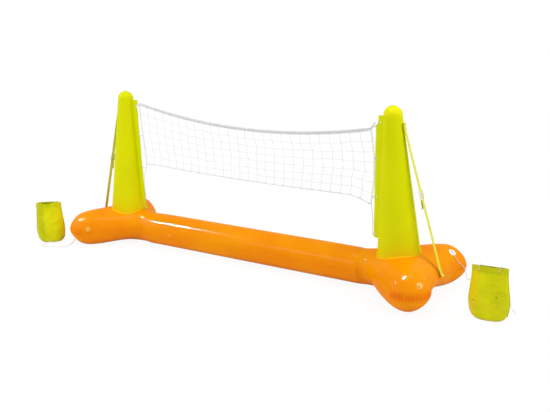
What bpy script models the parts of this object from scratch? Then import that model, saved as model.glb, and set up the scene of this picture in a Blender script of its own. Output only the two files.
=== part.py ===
"""Floating volleyball net: an inflatable base with two posts, a net, guy straps and tethered anchor bags.

Metres, +Z up. X runs along the base, Y across it, and the origin is under the middle of the base, on the
surface that it stands on. The base is one chamber with a forked lobe at each corner, each post is another.
"""

import math

import bmesh
import bpy
from mathutils import Matrix, Vector
from mathutils.bvhtree import BVHTree

# Clearance left between pieces that touch.
GAP = 0.0003

# Base: a long tube that widens into two lobes at each end.
TUBE_RADIUS = 0.0928
TUBE_FLAT = 0.0023
WIDEN_X = 0.775
JUNCTION_HEIGHT = 0.1055
LOBE_RADIUS = 0.105
LOBE_HEIGHT = 0.1005
LOBE_TAPER = 0.86
LOBE_FLAT = 0.0045
LOBE_X = 1.068
LOBE_Y = 0.2166
LIMB_ANGLE = math.radians(45)
NOTCH_X = 1.130
WAIST_BOW = -0.006
NOTCH_BOW = 0.003
SKIN_LEVEL = 2

# Posts: leaning cones with round tops.
POST_FOOT_X = 0.918
POST_TOP_X = 0.8756
POST_FOOT_Z = 0.130
POST_TOP_Z = 0.912
POST_FOOT_RADIUS = 0.112
POST_DOME_RADIUS = 0.0455
POST_SIDES = 32

# Net fins: flat flanges down the inner side of the posts, placed from the posts' axes and ends.
FIN_THICKNESS = 0.0016
FIN_TOP_REACH = 0.0896
FIN_LOW_REACH = 0.142
FIN_TAB_REACH = {-1: 0.0956, 1: 0.0756}
FIN_CORNER_DROP = 0.097
FIN_TAB_DROP = 0.068
FIN_TAB_TOP_DROP = 0.048
FIN_LOW_RISE = 0.127
FIN_NOTCH = 0.014
FIN_TOP_X = POST_TOP_X - FIN_TOP_REACH
FIN_LOW_X = POST_FOOT_X - FIN_LOW_REACH
FIN_CORNER_Z = POST_TOP_Z - FIN_CORNER_DROP
FIN_LOW_Z = POST_FOOT_Z + FIN_LOW_RISE
TIE_MARGIN = 0.014
TIE_UPPER_Z = 0.654
TIE_LOWER_Z = 0.460
TIE_HEIGHTS = {
    "top": FIN_CORNER_Z + TIE_MARGIN,
    "upper": TIE_UPPER_Z,
    "lower": TIE_LOWER_Z,
    "bottom": FIN_LOW_Z + TIE_MARGIN,
}
TIE_HOLE_RADIUS = 0.003
TIE_HOLE_INSET = 0.009

# Net: its top and bottom edges sag from corner to corner, and its sides hang clear of the fins.
NET_COLUMNS = 26
NET_ROWS = 7
NET_CORD = 0.0018
NET_LOW_X = 0.12
NET_TOP_DROP = 0.180
NET_TOP_RISE = 0.130
NET_BOTTOM_LOW_X = 0.35
NET_BOTTOM_LOW_Z = 0.4585
NET_BOTTOM_RISE = 0.028
CORNER_REACH = 0.15
CORNER_DROOP = {-1: 0.006, 1: 0.036}
NET_TOP_CLEAR = {-1: 0.021, 1: 0.029}
NET_BOTTOM_CLEAR = {-1: 0.0426, 1: 0.0226}
NET_BULGE = {-1: 0.0, 1: 0.017}
TAPE_HEIGHT = 0.013
TAPE_THICKNESS = 0.0045
BOTTOM_CORD_RADIUS = 0.0018
SIDE_CORD_RADIUS = 0.0016
TIE_RADIUS = 0.0008
SLACK_FIT = 0.0006

# Guy straps, from a lug on the post to a lug in the notch of the base.
STRAP_LOW_CLEAR = 0.010
STRAP_LOW_RISE = 0.0025
STRAP_TOP_CLEAR = 0.0040
STRAP_TOP_DROP = 0.080
STRAP_WIDTH = 0.018
STRAP_THICKNESS = 0.001
LUG_WIDTH = 0.028
LUG_THICKNESS = 0.0015
LUG_SLOT = 0.0036
LUG_BAR = 0.0045
LUG_ROOT = 0.045
PATCH_THICKNESS = 0.0010
LUG_PATCH_RADIUS = 0.019
BUCKLE_AT = 0.406
BUCKLE_LENGTH = 0.040
BUCKLE_RAIL = 0.0032
BUCKLE_DEPTH = 0.0065
BUCKLE_BAR_RADIUS = 0.0014
BUCKLE_STEP = 0.0023
TAIL_LENGTH = 0.052

# Air valves: a flanged cup sunk in the skin, with a stopper on a living hinge.
VALVE_RADIUS = 0.015
VALVE_DEPTH = 0.008
VALVE_LIP = 0.0014
VALVE_STEM_RADIUS = 0.0066
VALVE_STEM_HEIGHT = 0.0066
VALVE_BORE_RADIUS = 0.0043
VALVE_BORE_DEPTH = 0.0015
PLUG_CAP_RADIUS = 0.0074
PLUG_CAP_THICKNESS = 0.0017
PLUG_PIN_RADIUS = 0.0039
PLUG_PIN_TIP = 0.0032
PLUG_PIN_LENGTH = 0.0043
HINGE_OFFSET = 0.01395
HINGE_EAR = 0.0013
HINGE_WIDTH = 0.005
VALVE_SIDES = 16
LEFT_BASE_VALVE = (0.751, -0.638, 0.169)
RIGHT_BASE_VALVE = (0.746, -0.431, 0.508)
POST_VALVE_ALONG = 0.19
POST_VALVE_ANGLE = math.radians(62)

# Anchor patches and tether cords.
ANCHOR_DIRECTION = (0.497, -0.353, 0.793)
CORD_DIRECTION = (0.799, -0.447, 0.401)
ANCHOR_PATCH_RADIUS = 0.019
ARCH_RADIUS = 0.0070
ARCH_WIRE = 0.0012
TETHER_RADIUS = 0.0015
TETHER_LIFT = 0.0032
KNOT_RADIUS = 0.0032

# Anchor bags: open pouches that stand on the ground, with a hemmed, flattened mouth.
BAG_HALF_WIDTH = 0.086
BAG_HALF_DEPTH = 0.044
BAG_HEIGHT = 0.247
BAG_MOUTH_DEPTH = 0.0135
BAG_WALL = 0.0015
BAG_HOLE_RADIUS = 0.003
BAG_LOOP_X = 0.045
BAG_LOOP_Z = BAG_HEIGHT - 0.019
BAG_LOOP_RADIUS = 0.0011
BAG_SLACK = 0.0032
BAG_DRAINS = ((-0.062, 0.092), (0.040, 0.118))
RIGHT_BAG = (1.4165, -0.1274, math.radians(5))
LEFT_BAG = (-1.302, -0.303, math.radians(38))

ORANGE = ((1.0, 0.27, 0.005), 0.18, 0.0)
LIME = ((0.66, 0.70, 0.0), 0.22, 0.0)
NET_WHITE = ((0.85, 0.85, 0.84), 0.7, 0.0)
CLEAR_WHITE = ((0.82, 0.80, 0.78), 0.25, 0.0)


def clear_scene():
    for obj in list(bpy.data.objects):
        bpy.data.objects.remove(obj, do_unlink=True)


def make_collection(name, hidden):
    collection = bpy.data.collections.new(name)
    bpy.context.scene.collection.children.link(collection)
    collection.hide_render = hidden
    return collection


clear_scene()
PARTS = make_collection("floating_volleyball_net", False)
CUTTERS = make_collection("cutters", True)


def material(name, look):
    colour, roughness, metallic = look
    made = bpy.data.materials.new(name)
    made.use_nodes = True
    shader = made.node_tree.nodes["Principled BSDF"]
    shader.inputs["Base Color"].default_value = (*colour, 1.0)
    shader.inputs["Roughness"].default_value = roughness
    shader.inputs["Metallic"].default_value = metallic
    made.diffuse_color = (*colour, 1.0)
    return made


def add(name, data, look=None):
    """A named part, or a cutter when it has no look."""
    obj = bpy.data.objects.new(name, data)
    if look is None:
        CUTTERS.objects.link(obj)
        obj.hide_render = True
        obj.display_type = "WIRE"
        return obj
    PARTS.objects.link(obj)
    data.materials.append(material(name, look))
    if isinstance(data, bpy.types.Mesh):
        data.shade_smooth()
    return obj


def mesh_from(name, bm):
    mesh = bpy.data.meshes.new(name)
    bm.to_mesh(mesh)
    bm.free()
    return mesh


def frame_of(x_axis, z_axis, place):
    """A matrix with the given X and Z axes, at a place."""
    z_axis = Vector(z_axis).normalized()
    y_axis = z_axis.cross(Vector(x_axis)).normalized()
    x_axis = y_axis.cross(z_axis)
    return Matrix.Translation(place) @ Matrix((x_axis, y_axis, z_axis)).transposed().to_4x4()


def cylinder(name, radius, low, high, look=None, sides=24):
    """A cylinder on local Z between two heights."""
    bm = bmesh.new()
    bmesh.ops.create_cone(
        bm,
        cap_ends=True,
        segments=sides,
        radius1=radius,
        radius2=radius,
        depth=high - low,
        matrix=Matrix.Translation((0, 0, (low + high) / 2)),
    )
    return add(name, mesh_from(name, bm), look)


def block(name, low, high, look=None):
    """A box between two corners."""
    low, high = Vector(low), Vector(high)
    bm = bmesh.new()
    size = Matrix.Diagonal((*(high - low), 1))
    bmesh.ops.create_cube(bm, size=1.0, matrix=Matrix.Translation((low + high) / 2) @ size)
    return add(name, mesh_from(name, bm), look)


def boolean(obj, other, operation):
    modifier = obj.modifiers.new(operation.lower(), "BOOLEAN")
    modifier.operation = operation
    modifier.object = other
    modifier.solver = "EXACT"


def subdivide(obj, level):
    modifier = obj.modifiers.new("subdivide", "SUBSURF")
    modifier.levels = level
    modifier.render_levels = level


def smooth_path(points, count):
    """Points spaced evenly along a Catmull-Rom curve through the given ones."""
    points = [Vector(p) for p in points]
    ends = [2 * points[0] - points[1], *points, 2 * points[-1] - points[-2]]
    fine = [points[0]]
    for a, b, c, d in zip(ends, ends[1:], ends[2:], ends[3:]):
        for step in range(1, 17):
            t = step / 16
            bend = (2 * a - 5 * b + 4 * c - d) * t**2 + (3 * b - a - 3 * c + d) * t**3
            fine.append(0.5 * (2 * b + (c - a) * t + bend))
    runs = [0.0]
    for a, b in zip(fine, fine[1:]):
        runs.append(runs[-1] + (b - a).length)
    spaced = []
    index = 0
    for k in range(count):
        wanted = runs[-1] * k / (count - 1)
        while index < len(runs) - 2 and runs[index + 1] < wanted:
            index += 1
        share = (wanted - runs[index]) / (runs[index + 1] - runs[index])
        spaced.append(fine[index].lerp(fine[index + 1], min(share, 1.0)))
    return spaced


def tube(name, points, radius, look, closed=False, sides=1):
    """A round cord or wire along the points."""
    curve = bpy.data.curves.new(name, "CURVE")
    curve.dimensions = "3D"
    curve.bevel_depth = radius
    curve.bevel_resolution = sides
    curve.use_fill_caps = not closed
    spline = curve.splines.new("POLY")
    spline.points.add(len(points) - 1)
    for point, place in zip(spline.points, points):
        point.co = (*place, 1.0)
    spline.use_cyclic_u = closed
    return add(name, curve, look)


def plate(name, outline, holes, thickness, look=None):
    """A flat plate in its local XY plane, with round or slotted holes given as outlines."""
    curve = bpy.data.curves.new(name, "CURVE")
    curve.dimensions = "2D"
    curve.fill_mode = "BOTH"
    curve.extrude = thickness / 2
    for loop in (outline, *holes):
        spline = curve.splines.new("POLY")
        spline.points.add(len(loop) - 1)
        for point, (x, y) in zip(spline.points, loop):
            point.co = (x, y, 0.0, 1.0)
        spline.use_cyclic_u = True
    return add(name, curve, look)


def as_mesh(obj, look=None):
    """The curve object made a mesh with welded caps, so that Booleans can take it."""
    bpy.context.view_layer.update()
    source = obj.evaluated_get(bpy.context.evaluated_depsgraph_get())
    mesh = bpy.data.meshes.new_from_object(source)
    mesh.materials.clear()
    bm = bmesh.new()
    bm.from_mesh(mesh)
    bmesh.ops.remove_doubles(bm, verts=bm.verts, dist=0.00001)
    bm.to_mesh(mesh)
    bm.free()
    name, place = obj.name, obj.matrix_world.copy()
    bpy.data.objects.remove(obj)
    made = add(name, mesh, look)
    made.matrix_world = place
    return made


def circle(x, y, radius, count=12):
    turn = 2 * math.pi / count
    return [(x + radius * math.cos(k * turn), y + radius * math.sin(k * turn)) for k in range(count)]


def fit_cage(obj):
    """Moves the cage until the subdivided surface passes through the places that its corners had."""
    targets = [v.co.copy() for v in obj.data.vertices]
    for _ in range(8):
        bpy.context.view_layer.update()
        surface = obj.evaluated_get(bpy.context.evaluated_depsgraph_get()).data
        misses = [t - surface.vertices[k].co for k, t in enumerate(targets)]
        for vertex, miss in zip(obj.data.vertices, misses):
            vertex.co += miss


def stand(obj):
    """Lifts the shape until its lowest point is at a height of zero."""
    bpy.context.view_layer.update()
    surface = obj.evaluated_get(bpy.context.evaluated_depsgraph_get()).data
    lowest = min(v.co.z for v in surface.vertices)
    obj.data.transform(Matrix.Translation((0, 0, -lowest)))


RING_ANGLES = [math.radians(90 - 45 * k) for k in range(8)]


def ring(outer, crest, inner, height, flat, angles):
    """Points round one section. Its plan runs from the outer seam over the crest to the inner seam."""
    points = []
    for angle in angles:
        side = outer if math.cos(angle) > -1e-9 else inner
        plan = crest.lerp(side, abs(math.cos(angle)))
        points.append(Vector((plan.x, plan.y, height - flat + height * math.sin(angle))))
    return points


def base_rings():
    """Half rings along the tube, then whole rings out along one limb, and the tip of its lobe."""
    tube_rings = []
    for x in (0.0, WIDEN_X - 0.15, WIDEN_X - 0.05):
        seam = Vector((x, TUBE_RADIUS))
        tube_rings.append(ring(seam, Vector((x, 0)), seam, TUBE_RADIUS, TUBE_FLAT, RING_ANGLES[:5]))
    along = Vector((math.cos(LIMB_ANGLE), math.sin(LIMB_ANGLE)))
    across = Vector((-along.y, along.x))
    lobe = Vector((LOBE_X, LOBE_Y))
    start = (Vector((WIDEN_X, TUBE_RADIUS + 0.003)), Vector((POST_FOOT_X, 0)), Vector((NOTCH_X, 0)))
    end = (lobe + across * LOBE_RADIUS, lobe, lobe - across * LOBE_RADIUS)
    limb_rings = []
    for share in (0.0, 0.5, 1.0):
        outer, crest, inner = (a.lerp(b, share) for a, b in zip(start, end))
        outer -= across * WAIST_BOW * math.sin(math.pi * share)
        inner.x -= NOTCH_BOW * math.sin(math.pi * share)
        height = JUNCTION_HEIGHT + (LOBE_HEIGHT - JUNCTION_HEIGHT) * share**2
        flat = TUBE_FLAT + (LOBE_FLAT - TUBE_FLAT) * share
        limb_rings.append(ring(outer, crest, inner, height, flat, RING_ANGLES))
    reach = 0.62
    width = LOBE_RADIUS * math.sqrt(1 - reach**2)
    height = LOBE_HEIGHT * LOBE_TAPER * math.sqrt(1 - reach**2)
    middle = lobe + along * LOBE_RADIUS * reach
    last = ring(middle + across * width, middle, middle - across * width, height, 0.0, RING_ANGLES)
    lift = LOBE_HEIGHT - LOBE_FLAT - height
    limb_rings.append([p + Vector((0, 0, lift)) for p in last])
    tip = lobe + along * LOBE_RADIUS
    return tube_rings, limb_rings, Vector((tip.x, tip.y, LOBE_HEIGHT - LOBE_FLAT))


def base_skin(name, look=None):
    """The inflated base before anything is cut from it: a quarter cage, mirrored and subdivided."""
    tube_rings, limb_rings, tip = base_rings()
    bm = bmesh.new()
    rows = [[bm.verts.new(p) for p in points] for points in tube_rings]
    limbs = [[bm.verts.new(p) for p in points] for points in limb_rings]
    rows.append(limbs[0][:5])
    for a, b in zip(rows, rows[1:]):
        for k in range(4):
            bm.faces.new((a[k], a[k + 1], b[k + 1], b[k]))
    for a, b in zip(limbs, limbs[1:]):
        for k in range(8):
            n = (k + 1) % 8
            bm.faces.new((a[k], a[n], b[n], b[k]))
    top = bm.verts.new(tip)
    last = limbs[-1]
    for k in range(0, 8, 2):
        bm.faces.new((last[k], last[k + 1], last[(k + 2) % 8], top))
    bmesh.ops.recalc_face_normals(bm, faces=bm.faces)
    obj = add(name, mesh_from(name, bm), look)
    mirror = obj.modifiers.new("mirror", "MIRROR")
    mirror.use_axis = (True, True, False)
    mirror.merge_threshold = 0.00001
    subdivide(obj, SKIN_LEVEL)
    fit_cage(obj)
    facets = obj.modifiers.new("facets", "TRIANGULATE")
    facets.quad_method = "FIXED"
    return obj


def offset_copy(source, name, distance):
    """A cutter with the source's skin, moved outwards by a distance."""
    obj = add(name, source.data)
    obj.matrix_world = source.matrix_world.copy()
    for old in source.modifiers:
        new = obj.modifiers.new(old.name, old.type)
        for prop in old.bl_rna.properties:
            if not prop.is_readonly and prop.identifier not in ("name", "type"):
                setattr(new, prop.identifier, getattr(old, prop.identifier))
    swell = obj.modifiers.new("swell", "DISPLACE")
    swell.strength = distance
    swell.mid_level = 0.0
    return obj


def post_axis(side):
    """The place of the foot and the matrix of the leaning post on one side."""
    rise = POST_TOP_Z - POST_DOME_RADIUS - POST_FOOT_Z
    lean = math.atan2(POST_FOOT_X - POST_TOP_X, rise)
    spin = Matrix.Rotation(-side * lean, 4, "Y")
    return Matrix.Translation((side * POST_FOOT_X, 0, POST_FOOT_Z)) @ spin


def post_length():
    rise = POST_TOP_Z - POST_DOME_RADIUS - POST_FOOT_Z
    return math.hypot(rise, POST_FOOT_X - POST_TOP_X)


def post_radius(along):
    """Radius of the post at a distance along its axis from the foot."""
    share = along / post_length()
    return POST_FOOT_RADIUS + (POST_DOME_RADIUS - POST_FOOT_RADIUS) * share


def post(name, side, look=None):
    """A turned cone with a round top. Its profile runs down the outer side."""
    length = post_length()
    bm = bmesh.new()
    profile = [bm.verts.new((0, 0, length + POST_DOME_RADIUS))]
    for k in range(1, 6):
        angle = math.radians(90 - 18 * k)
        reach = Vector((math.cos(angle), 0, math.sin(angle))) * POST_DOME_RADIUS
        profile.append(bm.verts.new(Vector((0, 0, length)) + reach))
    profile.append(bm.verts.new((POST_FOOT_RADIUS, 0, 0)))
    profile.append(bm.verts.new((0, 0, 0)))
    for a, b in zip(profile, profile[1:]):
        bm.edges.new((a, b))
    obj = add(name, mesh_from(name, bm), look)
    turn = obj.modifiers.new("turn", "SCREW")
    turn.steps = POST_SIDES
    turn.render_steps = POST_SIDES
    turn.use_merge_vertices = True
    turn.merge_threshold = 0.00001
    turn.use_smooth_shade = True
    seam = Matrix.Rotation(math.pi / POST_SIDES, 4, "Z")
    obj.matrix_world = post_axis(side) @ seam
    return obj


def inner_edge(along, clear):
    """X and Z of the post's inner silhouette, for the post on the right."""
    place = post_axis(1) @ Vector((-post_radius(along) - clear, 0, along))
    return place.x, place.z


def outer_edge(z):
    """X of the post's outer silhouette at a height, for the post on the right."""
    low, top = (post_axis(1) @ Vector((post_radius(along), 0, along)) for along in (0, post_length()))
    return low.x + (top.x - low.x) * (z - low.z) / (top.z - low.z)


def fin_edge(z):
    """X of the fin's free edge at a height, for the fin on the right."""
    share = (z - FIN_LOW_Z) / (FIN_CORNER_Z - FIN_LOW_Z)
    return FIN_LOW_X + (FIN_TOP_X - FIN_LOW_X) * share


def tie_hole(height):
    inset = FIN_NOTCH if height > FIN_CORNER_Z else 0.0
    return fin_edge(min(height, FIN_CORNER_Z)) + TIE_HOLE_INSET + inset, height


def fin(name, side):
    """A flat flange that fills the space between a straight free edge and the post."""
    length = post_length()
    low = (FIN_LOW_Z - 0.006 - POST_FOOT_Z) / (POST_TOP_Z - POST_FOOT_Z)
    seat = [inner_edge(length * share, GAP) for share in (low, 1)]
    tab_x = POST_TOP_X - FIN_TAB_REACH[side]
    outline = [
        *seat,
        (tab_x, POST_TOP_Z - FIN_TAB_TOP_DROP),
        (tab_x, POST_TOP_Z - FIN_TAB_DROP),
        (FIN_TOP_X + FIN_NOTCH - 0.003, FIN_CORNER_Z + 0.012),
        (FIN_TOP_X, FIN_CORNER_Z),
        (FIN_LOW_X, FIN_LOW_Z),
        (FIN_LOW_X + 0.008, FIN_LOW_Z - 0.006),
    ]
    holes = [circle(*tie_hole(z), TIE_HOLE_RADIUS) for z in TIE_HEIGHTS.values()]
    loops = [[(side * x, z) for x, z in loop] for loop in (outline, *holes)]
    made = plate(name, loops[0], loops[1:], FIN_THICKNESS, LIME)
    made.rotation_euler = (math.radians(90), 0, 0)
    return made


def net_top(x):
    return POST_TOP_Z - NET_TOP_DROP + NET_TOP_RISE * (x - NET_LOW_X) ** 2


def net_bottom(x):
    z = NET_BOTTOM_LOW_Z
    if x < NET_BOTTOM_LOW_X:
        z += NET_BOTTOM_RISE * (NET_BOTTOM_LOW_X - x) ** 2
    for side, droop in CORNER_DROOP.items():
        near = max(0.0, 1 - abs(x - net_side(side, 0)) / CORNER_REACH)
        z -= droop * near**2
    return z


def net_side(side, share):
    """X of the net's edge, from the bottom corner at 0 to the top corner at 1."""
    low = fin_edge(NET_BOTTOM_LOW_Z) - NET_BOTTOM_CLEAR[side]
    top = FIN_TOP_X - NET_TOP_CLEAR[side]
    return side * (low + (top - low) * share + NET_BULGE[side] * math.sin(math.pi * share))


def net_point(across, up):
    """A place in the net: across runs from left to right, up from bottom to top, both from 0 to 1."""
    left, right = net_side(-1, up), net_side(1, up)
    x = left + (right - left) * across
    z = net_bottom(x) + (net_top(x) - net_bottom(x)) * up
    return Vector((x, 0, z))


def net_mesh(name):
    """A grid of square strands with open gaps, hung between the sagging edges."""
    bm = bmesh.new()
    rows = [
        [bm.verts.new(net_point(c / NET_COLUMNS, r / NET_ROWS)) for c in range(NET_COLUMNS + 1)]
        for r in range(NET_ROWS + 1)
    ]
    for low, high in zip(rows, rows[1:]):
        for c in range(NET_COLUMNS):
            bm.faces.new((low[c], low[c + 1], high[c + 1], high[c]))
    obj = add(name, mesh_from(name, bm), NET_WHITE)
    strands = obj.modifiers.new("strands", "WIREFRAME")
    strands.thickness = NET_CORD
    strands.use_boundary = True
    strands.use_even_offset = True
    strands.use_replace = True
    return obj


def net_edge_cord(name, up, lift, radius, depth):
    """A cord along the top or bottom edge of the net, squashed to the given depth across it."""
    edge = [net_point(c / NET_COLUMNS, up) for c in range(NET_COLUMNS + 1)]
    points = []
    for before, place, after in zip([edge[0], *edge], edge, [*edge[1:], edge[-1]]):
        run = (after - before).normalized()
        points.append(place + Vector((-run.z, 0, run.x)) * lift)
    cord = tube(name, points, radius, NET_WHITE, sides=2)
    cord.scale = (1, depth / (2 * radius), 1)
    return cord


def side_cord_path(side):
    """Down the net's side edge from above its top corner, then on to the bottom hole of the fin."""
    clear = NET_CORD / 2 + 2 * GAP + 2 * TIE_RADIUS + SLACK_FIT + SIDE_CORD_RADIUS
    points = []
    for k in range(9):
        up = 1 - k / 8
        edge = net_side(side, up)
        points.append(Vector((edge + side * clear, 0, net_point(0 if side < 0 else 1, up).z)))
    points.insert(0, points[0] + (points[0] - points[1]).normalized() * 0.016)
    hole_x, hole_z = tie_hole(TIE_HEIGHTS["bottom"])
    foot = Vector((side * (hole_x - 0.016), 0, hole_z - 0.008))
    points.append(points[-1].lerp(foot, 0.5) + Vector((-side * 0.002, 0, 0)))
    points.append(foot)
    return smooth_path(points, 18)


def cord_at(path, height):
    """The place and direction at a height on a cord that runs downwards, kept clear of its two ends."""
    height = min(max(height, path[-1].z + 0.006), path[0].z - 0.006)
    for a, b in zip(path, path[1:]):
        if a.z >= height >= b.z:
            return a.lerp(b, (a.z - height) / (a.z - b.z)), (b - a).normalized()
    return path[-1], (path[-1] - path[-2]).normalized()


def tie(name, cord, run, hole):
    """A closed loop round the side cord and through a hole of the fin."""
    along = (hole - cord).normalized()
    across = Vector((0, 1, 0))
    half = (SIDE_CORD_RADIUS + GAP + TIE_RADIUS) * 1.1
    long = half / along.cross(run).length
    slip = 0.96 * TIE_HOLE_RADIUS - TIE_RADIUS - GAP
    bend = half * math.cos(math.radians(30))
    points = []
    for centre, reach, start in ((hole - along * (bend + slip), half, -90), (cord, long, 90)):
        for k in range(4):
            angle = math.radians(start + 60 * k)
            points.append(centre + along * math.cos(angle) * reach + across * math.sin(angle) * half)
    return tube(name, points, TIE_RADIUS, NET_WHITE, closed=True)


def add_net():
    net_mesh("net_mesh")
    tape_lift = NET_CORD / 2 + SLACK_FIT + TAPE_HEIGHT / 2
    cord_lift = -(NET_CORD / 2 + SLACK_FIT + BOTTOM_CORD_RADIUS)
    net_edge_cord("net_top_tape", 1, tape_lift, TAPE_HEIGHT / 2, TAPE_THICKNESS)
    net_edge_cord("net_bottom_cord", 0, cord_lift, BOTTOM_CORD_RADIUS, 2 * BOTTOM_CORD_RADIUS)
    for side, word in ((-1, "left"), (1, "right")):
        path = side_cord_path(side)
        tube(f"net_side_cord_{word}", path, SIDE_CORD_RADIUS, NET_WHITE)
        for level, height in TIE_HEIGHTS.items():
            hole_x, hole_z = tie_hole(height)
            held, run = cord_at(path, hole_z)
            tie(f"net_tie_{level}_{word}", held, run, Vector((side * hole_x, 0, hole_z)))


def strap_ends(side):
    """The middles of the two slots: just off the notch of the base, and just off the side of the post."""
    low = Vector((side * (NOTCH_X + STRAP_LOW_CLEAR), 0, JUNCTION_HEIGHT + STRAP_LOW_RISE))
    height = POST_TOP_Z - STRAP_TOP_DROP
    top = Vector((side * (outer_edge(height) + STRAP_TOP_CLEAR), 0, height))
    return low, top


def strap_frame(side, place):
    """X points outwards and square to the strap, Z up along it."""
    low, top = strap_ends(side)
    up = (top - low).normalized()
    out = Vector((side * up.z, 0, -side * up.x))
    return frame_of(out, up, place)


def lug(name, side, place, skin_outer, skin_inner):
    """A slotted tab on a patch that follows the skin."""
    frame = strap_frame(side, place)
    half, slot, thick = LUG_WIDTH / 2, LUG_SLOT / 2, LUG_THICKNESS / 2
    opening = STRAP_WIDTH / 2 + 0.001
    tab = block(name + "_tab", (-LUG_ROOT, -half, -thick), (slot + LUG_BAR, half, thick))
    hole = block(name + "_slot", (-slot, -opening, -0.01), (slot, opening, 0.01))
    for obj in (tab, hole):
        obj.matrix_world = frame
    patch = cylinder(name, LUG_PATCH_RADIUS, -0.030, 0.004, LIME)
    turned_a_little = Matrix.Rotation(math.radians(4), 4, "Z")
    patch.matrix_world = frame @ Matrix.Rotation(math.radians(90), 4, "Y") @ turned_a_little
    boolean(patch, skin_outer, "INTERSECT")
    boolean(patch, tab, "UNION")
    boolean(patch, skin_inner, "DIFFERENCE")
    boolean(patch, hole, "DIFFERENCE")
    return patch


def strap_line():
    """X and Z of the strap at its low slot: the doubled end, round the bar and out along the strap."""
    bar = LUG_SLOT / 2 + LUG_BAR
    thick = LUG_THICKNESS / 2
    return [
        (0.0017, 0.034),
        (0.0021, 0.014),
        (0.0046, 0.006),
        (bar + 0.0011, 0.0015),
        (bar + 0.0012, -0.0006),
        (bar - 0.0003, -thick - 0.0012),
        (bar - 0.0027, -thick - 0.0013),
        (0.0012, -thick - 0.0009),
        (0.0002, -0.0007),
        (0.0, 0.0015),
        (0.0, 0.010),
    ]


def ribbon(name, points, width, thickness, look):
    """A flat band along points in the XZ plane."""
    bm = bmesh.new()
    sides = [[bm.verts.new((x, y, z)) for x, z in points] for y in (-width / 2, width / 2)]
    for k in range(len(points) - 1):
        bm.faces.new((sides[0][k], sides[0][k + 1], sides[1][k + 1], sides[1][k]))
    obj = add(name, mesh_from(name, bm), look)
    shell = obj.modifiers.new("shell", "SOLIDIFY")
    shell.thickness = thickness
    shell.offset = 0.0
    shell.use_even_offset = True
    return obj


def guy_strap(name, side):
    low, top = strap_ends(side)
    length = (top - low).length
    start = strap_line()
    end = [(x, length - z) for x, z in reversed(start)]
    obj = ribbon(name, [*start, *end], STRAP_WIDTH, STRAP_THICKNESS, LIME)
    obj.matrix_world = strap_frame(side, low)
    return obj


def buckle(name, side):
    """A ladder lock: two rails and stepped bars, so that the strap runs straight between them."""
    low, top = strap_ends(side)
    place = low.lerp(top, BUCKLE_AT / (top - low).length)
    frame = strap_frame(side, place)
    inner = STRAP_WIDTH / 2 + SLACK_FIT
    outer = inner + BUCKLE_RAIL
    half = BUCKLE_LENGTH / 2
    deep = BUCKLE_DEPTH / 2
    body = block(name, (-deep, -outer, -half), (deep, -inner, half), CLEAR_WHITE)
    body.matrix_world = frame
    far = block(name + "_rail", (-deep, inner, -half), (deep, outer, half))
    far.matrix_world = frame
    boolean(body, far, "UNION")
    spots = ((-1, -0.86), (1, -0.43), (-1, 0.0), (1, 0.43), (-1, 0.86))
    for k, (step, along) in enumerate(spots):
        bar = cylinder(f"{name}_bar_{k}", BUCKLE_BAR_RADIUS, -outer + 0.001, outer - 0.001, sides=10)
        place = Matrix.Translation((step * BUCKLE_STEP, 0, along * half))
        bar.matrix_world = frame @ place @ Matrix.Rotation(math.radians(90), 4, "X")
        boolean(body, bar, "UNION")
    return body


def strap_tail(name, side):
    """The strap's free end, hooked over the lowest bar of the buckle on the post's side."""
    low, top = strap_ends(side)
    frame = strap_frame(side, low.lerp(top, BUCKLE_AT / (top - low).length))
    bar_z = -0.86 * BUCKLE_LENGTH / 2
    clear = BUCKLE_BAR_RADIUS + GAP + STRAP_THICKNESS / 2
    x = -BUCKLE_STEP
    points = [
        (x + 0.0001, bar_z + clear + 0.0006),
        (x - clear * 0.75, bar_z + clear * 0.85),
        (x - clear - 0.0004, bar_z),
        (x - clear - 0.0012, bar_z - 0.010),
        (x - clear - 0.0035, bar_z - 0.028),
        (x - clear - 0.0050, bar_z - 0.042),
        (x - clear - 0.0085, bar_z - TAIL_LENGTH),
    ]
    obj = ribbon(name, points, STRAP_WIDTH - 0.001, STRAP_THICKNESS, LIME)
    obj.matrix_world = frame
    return obj


def turned(name, profile, look):
    """A solid turned round local Z. The profile lists radius and height from the top down."""
    bm = bmesh.new()
    verts = [bm.verts.new((r, 0, h)) for r, h in profile]
    for a, b in zip(verts, verts[1:]):
        bm.edges.new((a, b))
    obj = add(name, mesh_from(name, bm), look)
    turn = obj.modifiers.new("turn", "SCREW")
    turn.steps = VALVE_SIDES
    turn.render_steps = VALVE_SIDES
    turn.use_merge_vertices = True
    turn.merge_threshold = 0.00001
    turn.use_smooth_shade = True
    return obj


def valve_pocket(name, frame):
    obj = cylinder(name, VALVE_RADIUS + GAP, -VALVE_DEPTH - GAP, 0.02)
    obj.matrix_world = frame
    return obj


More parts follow.
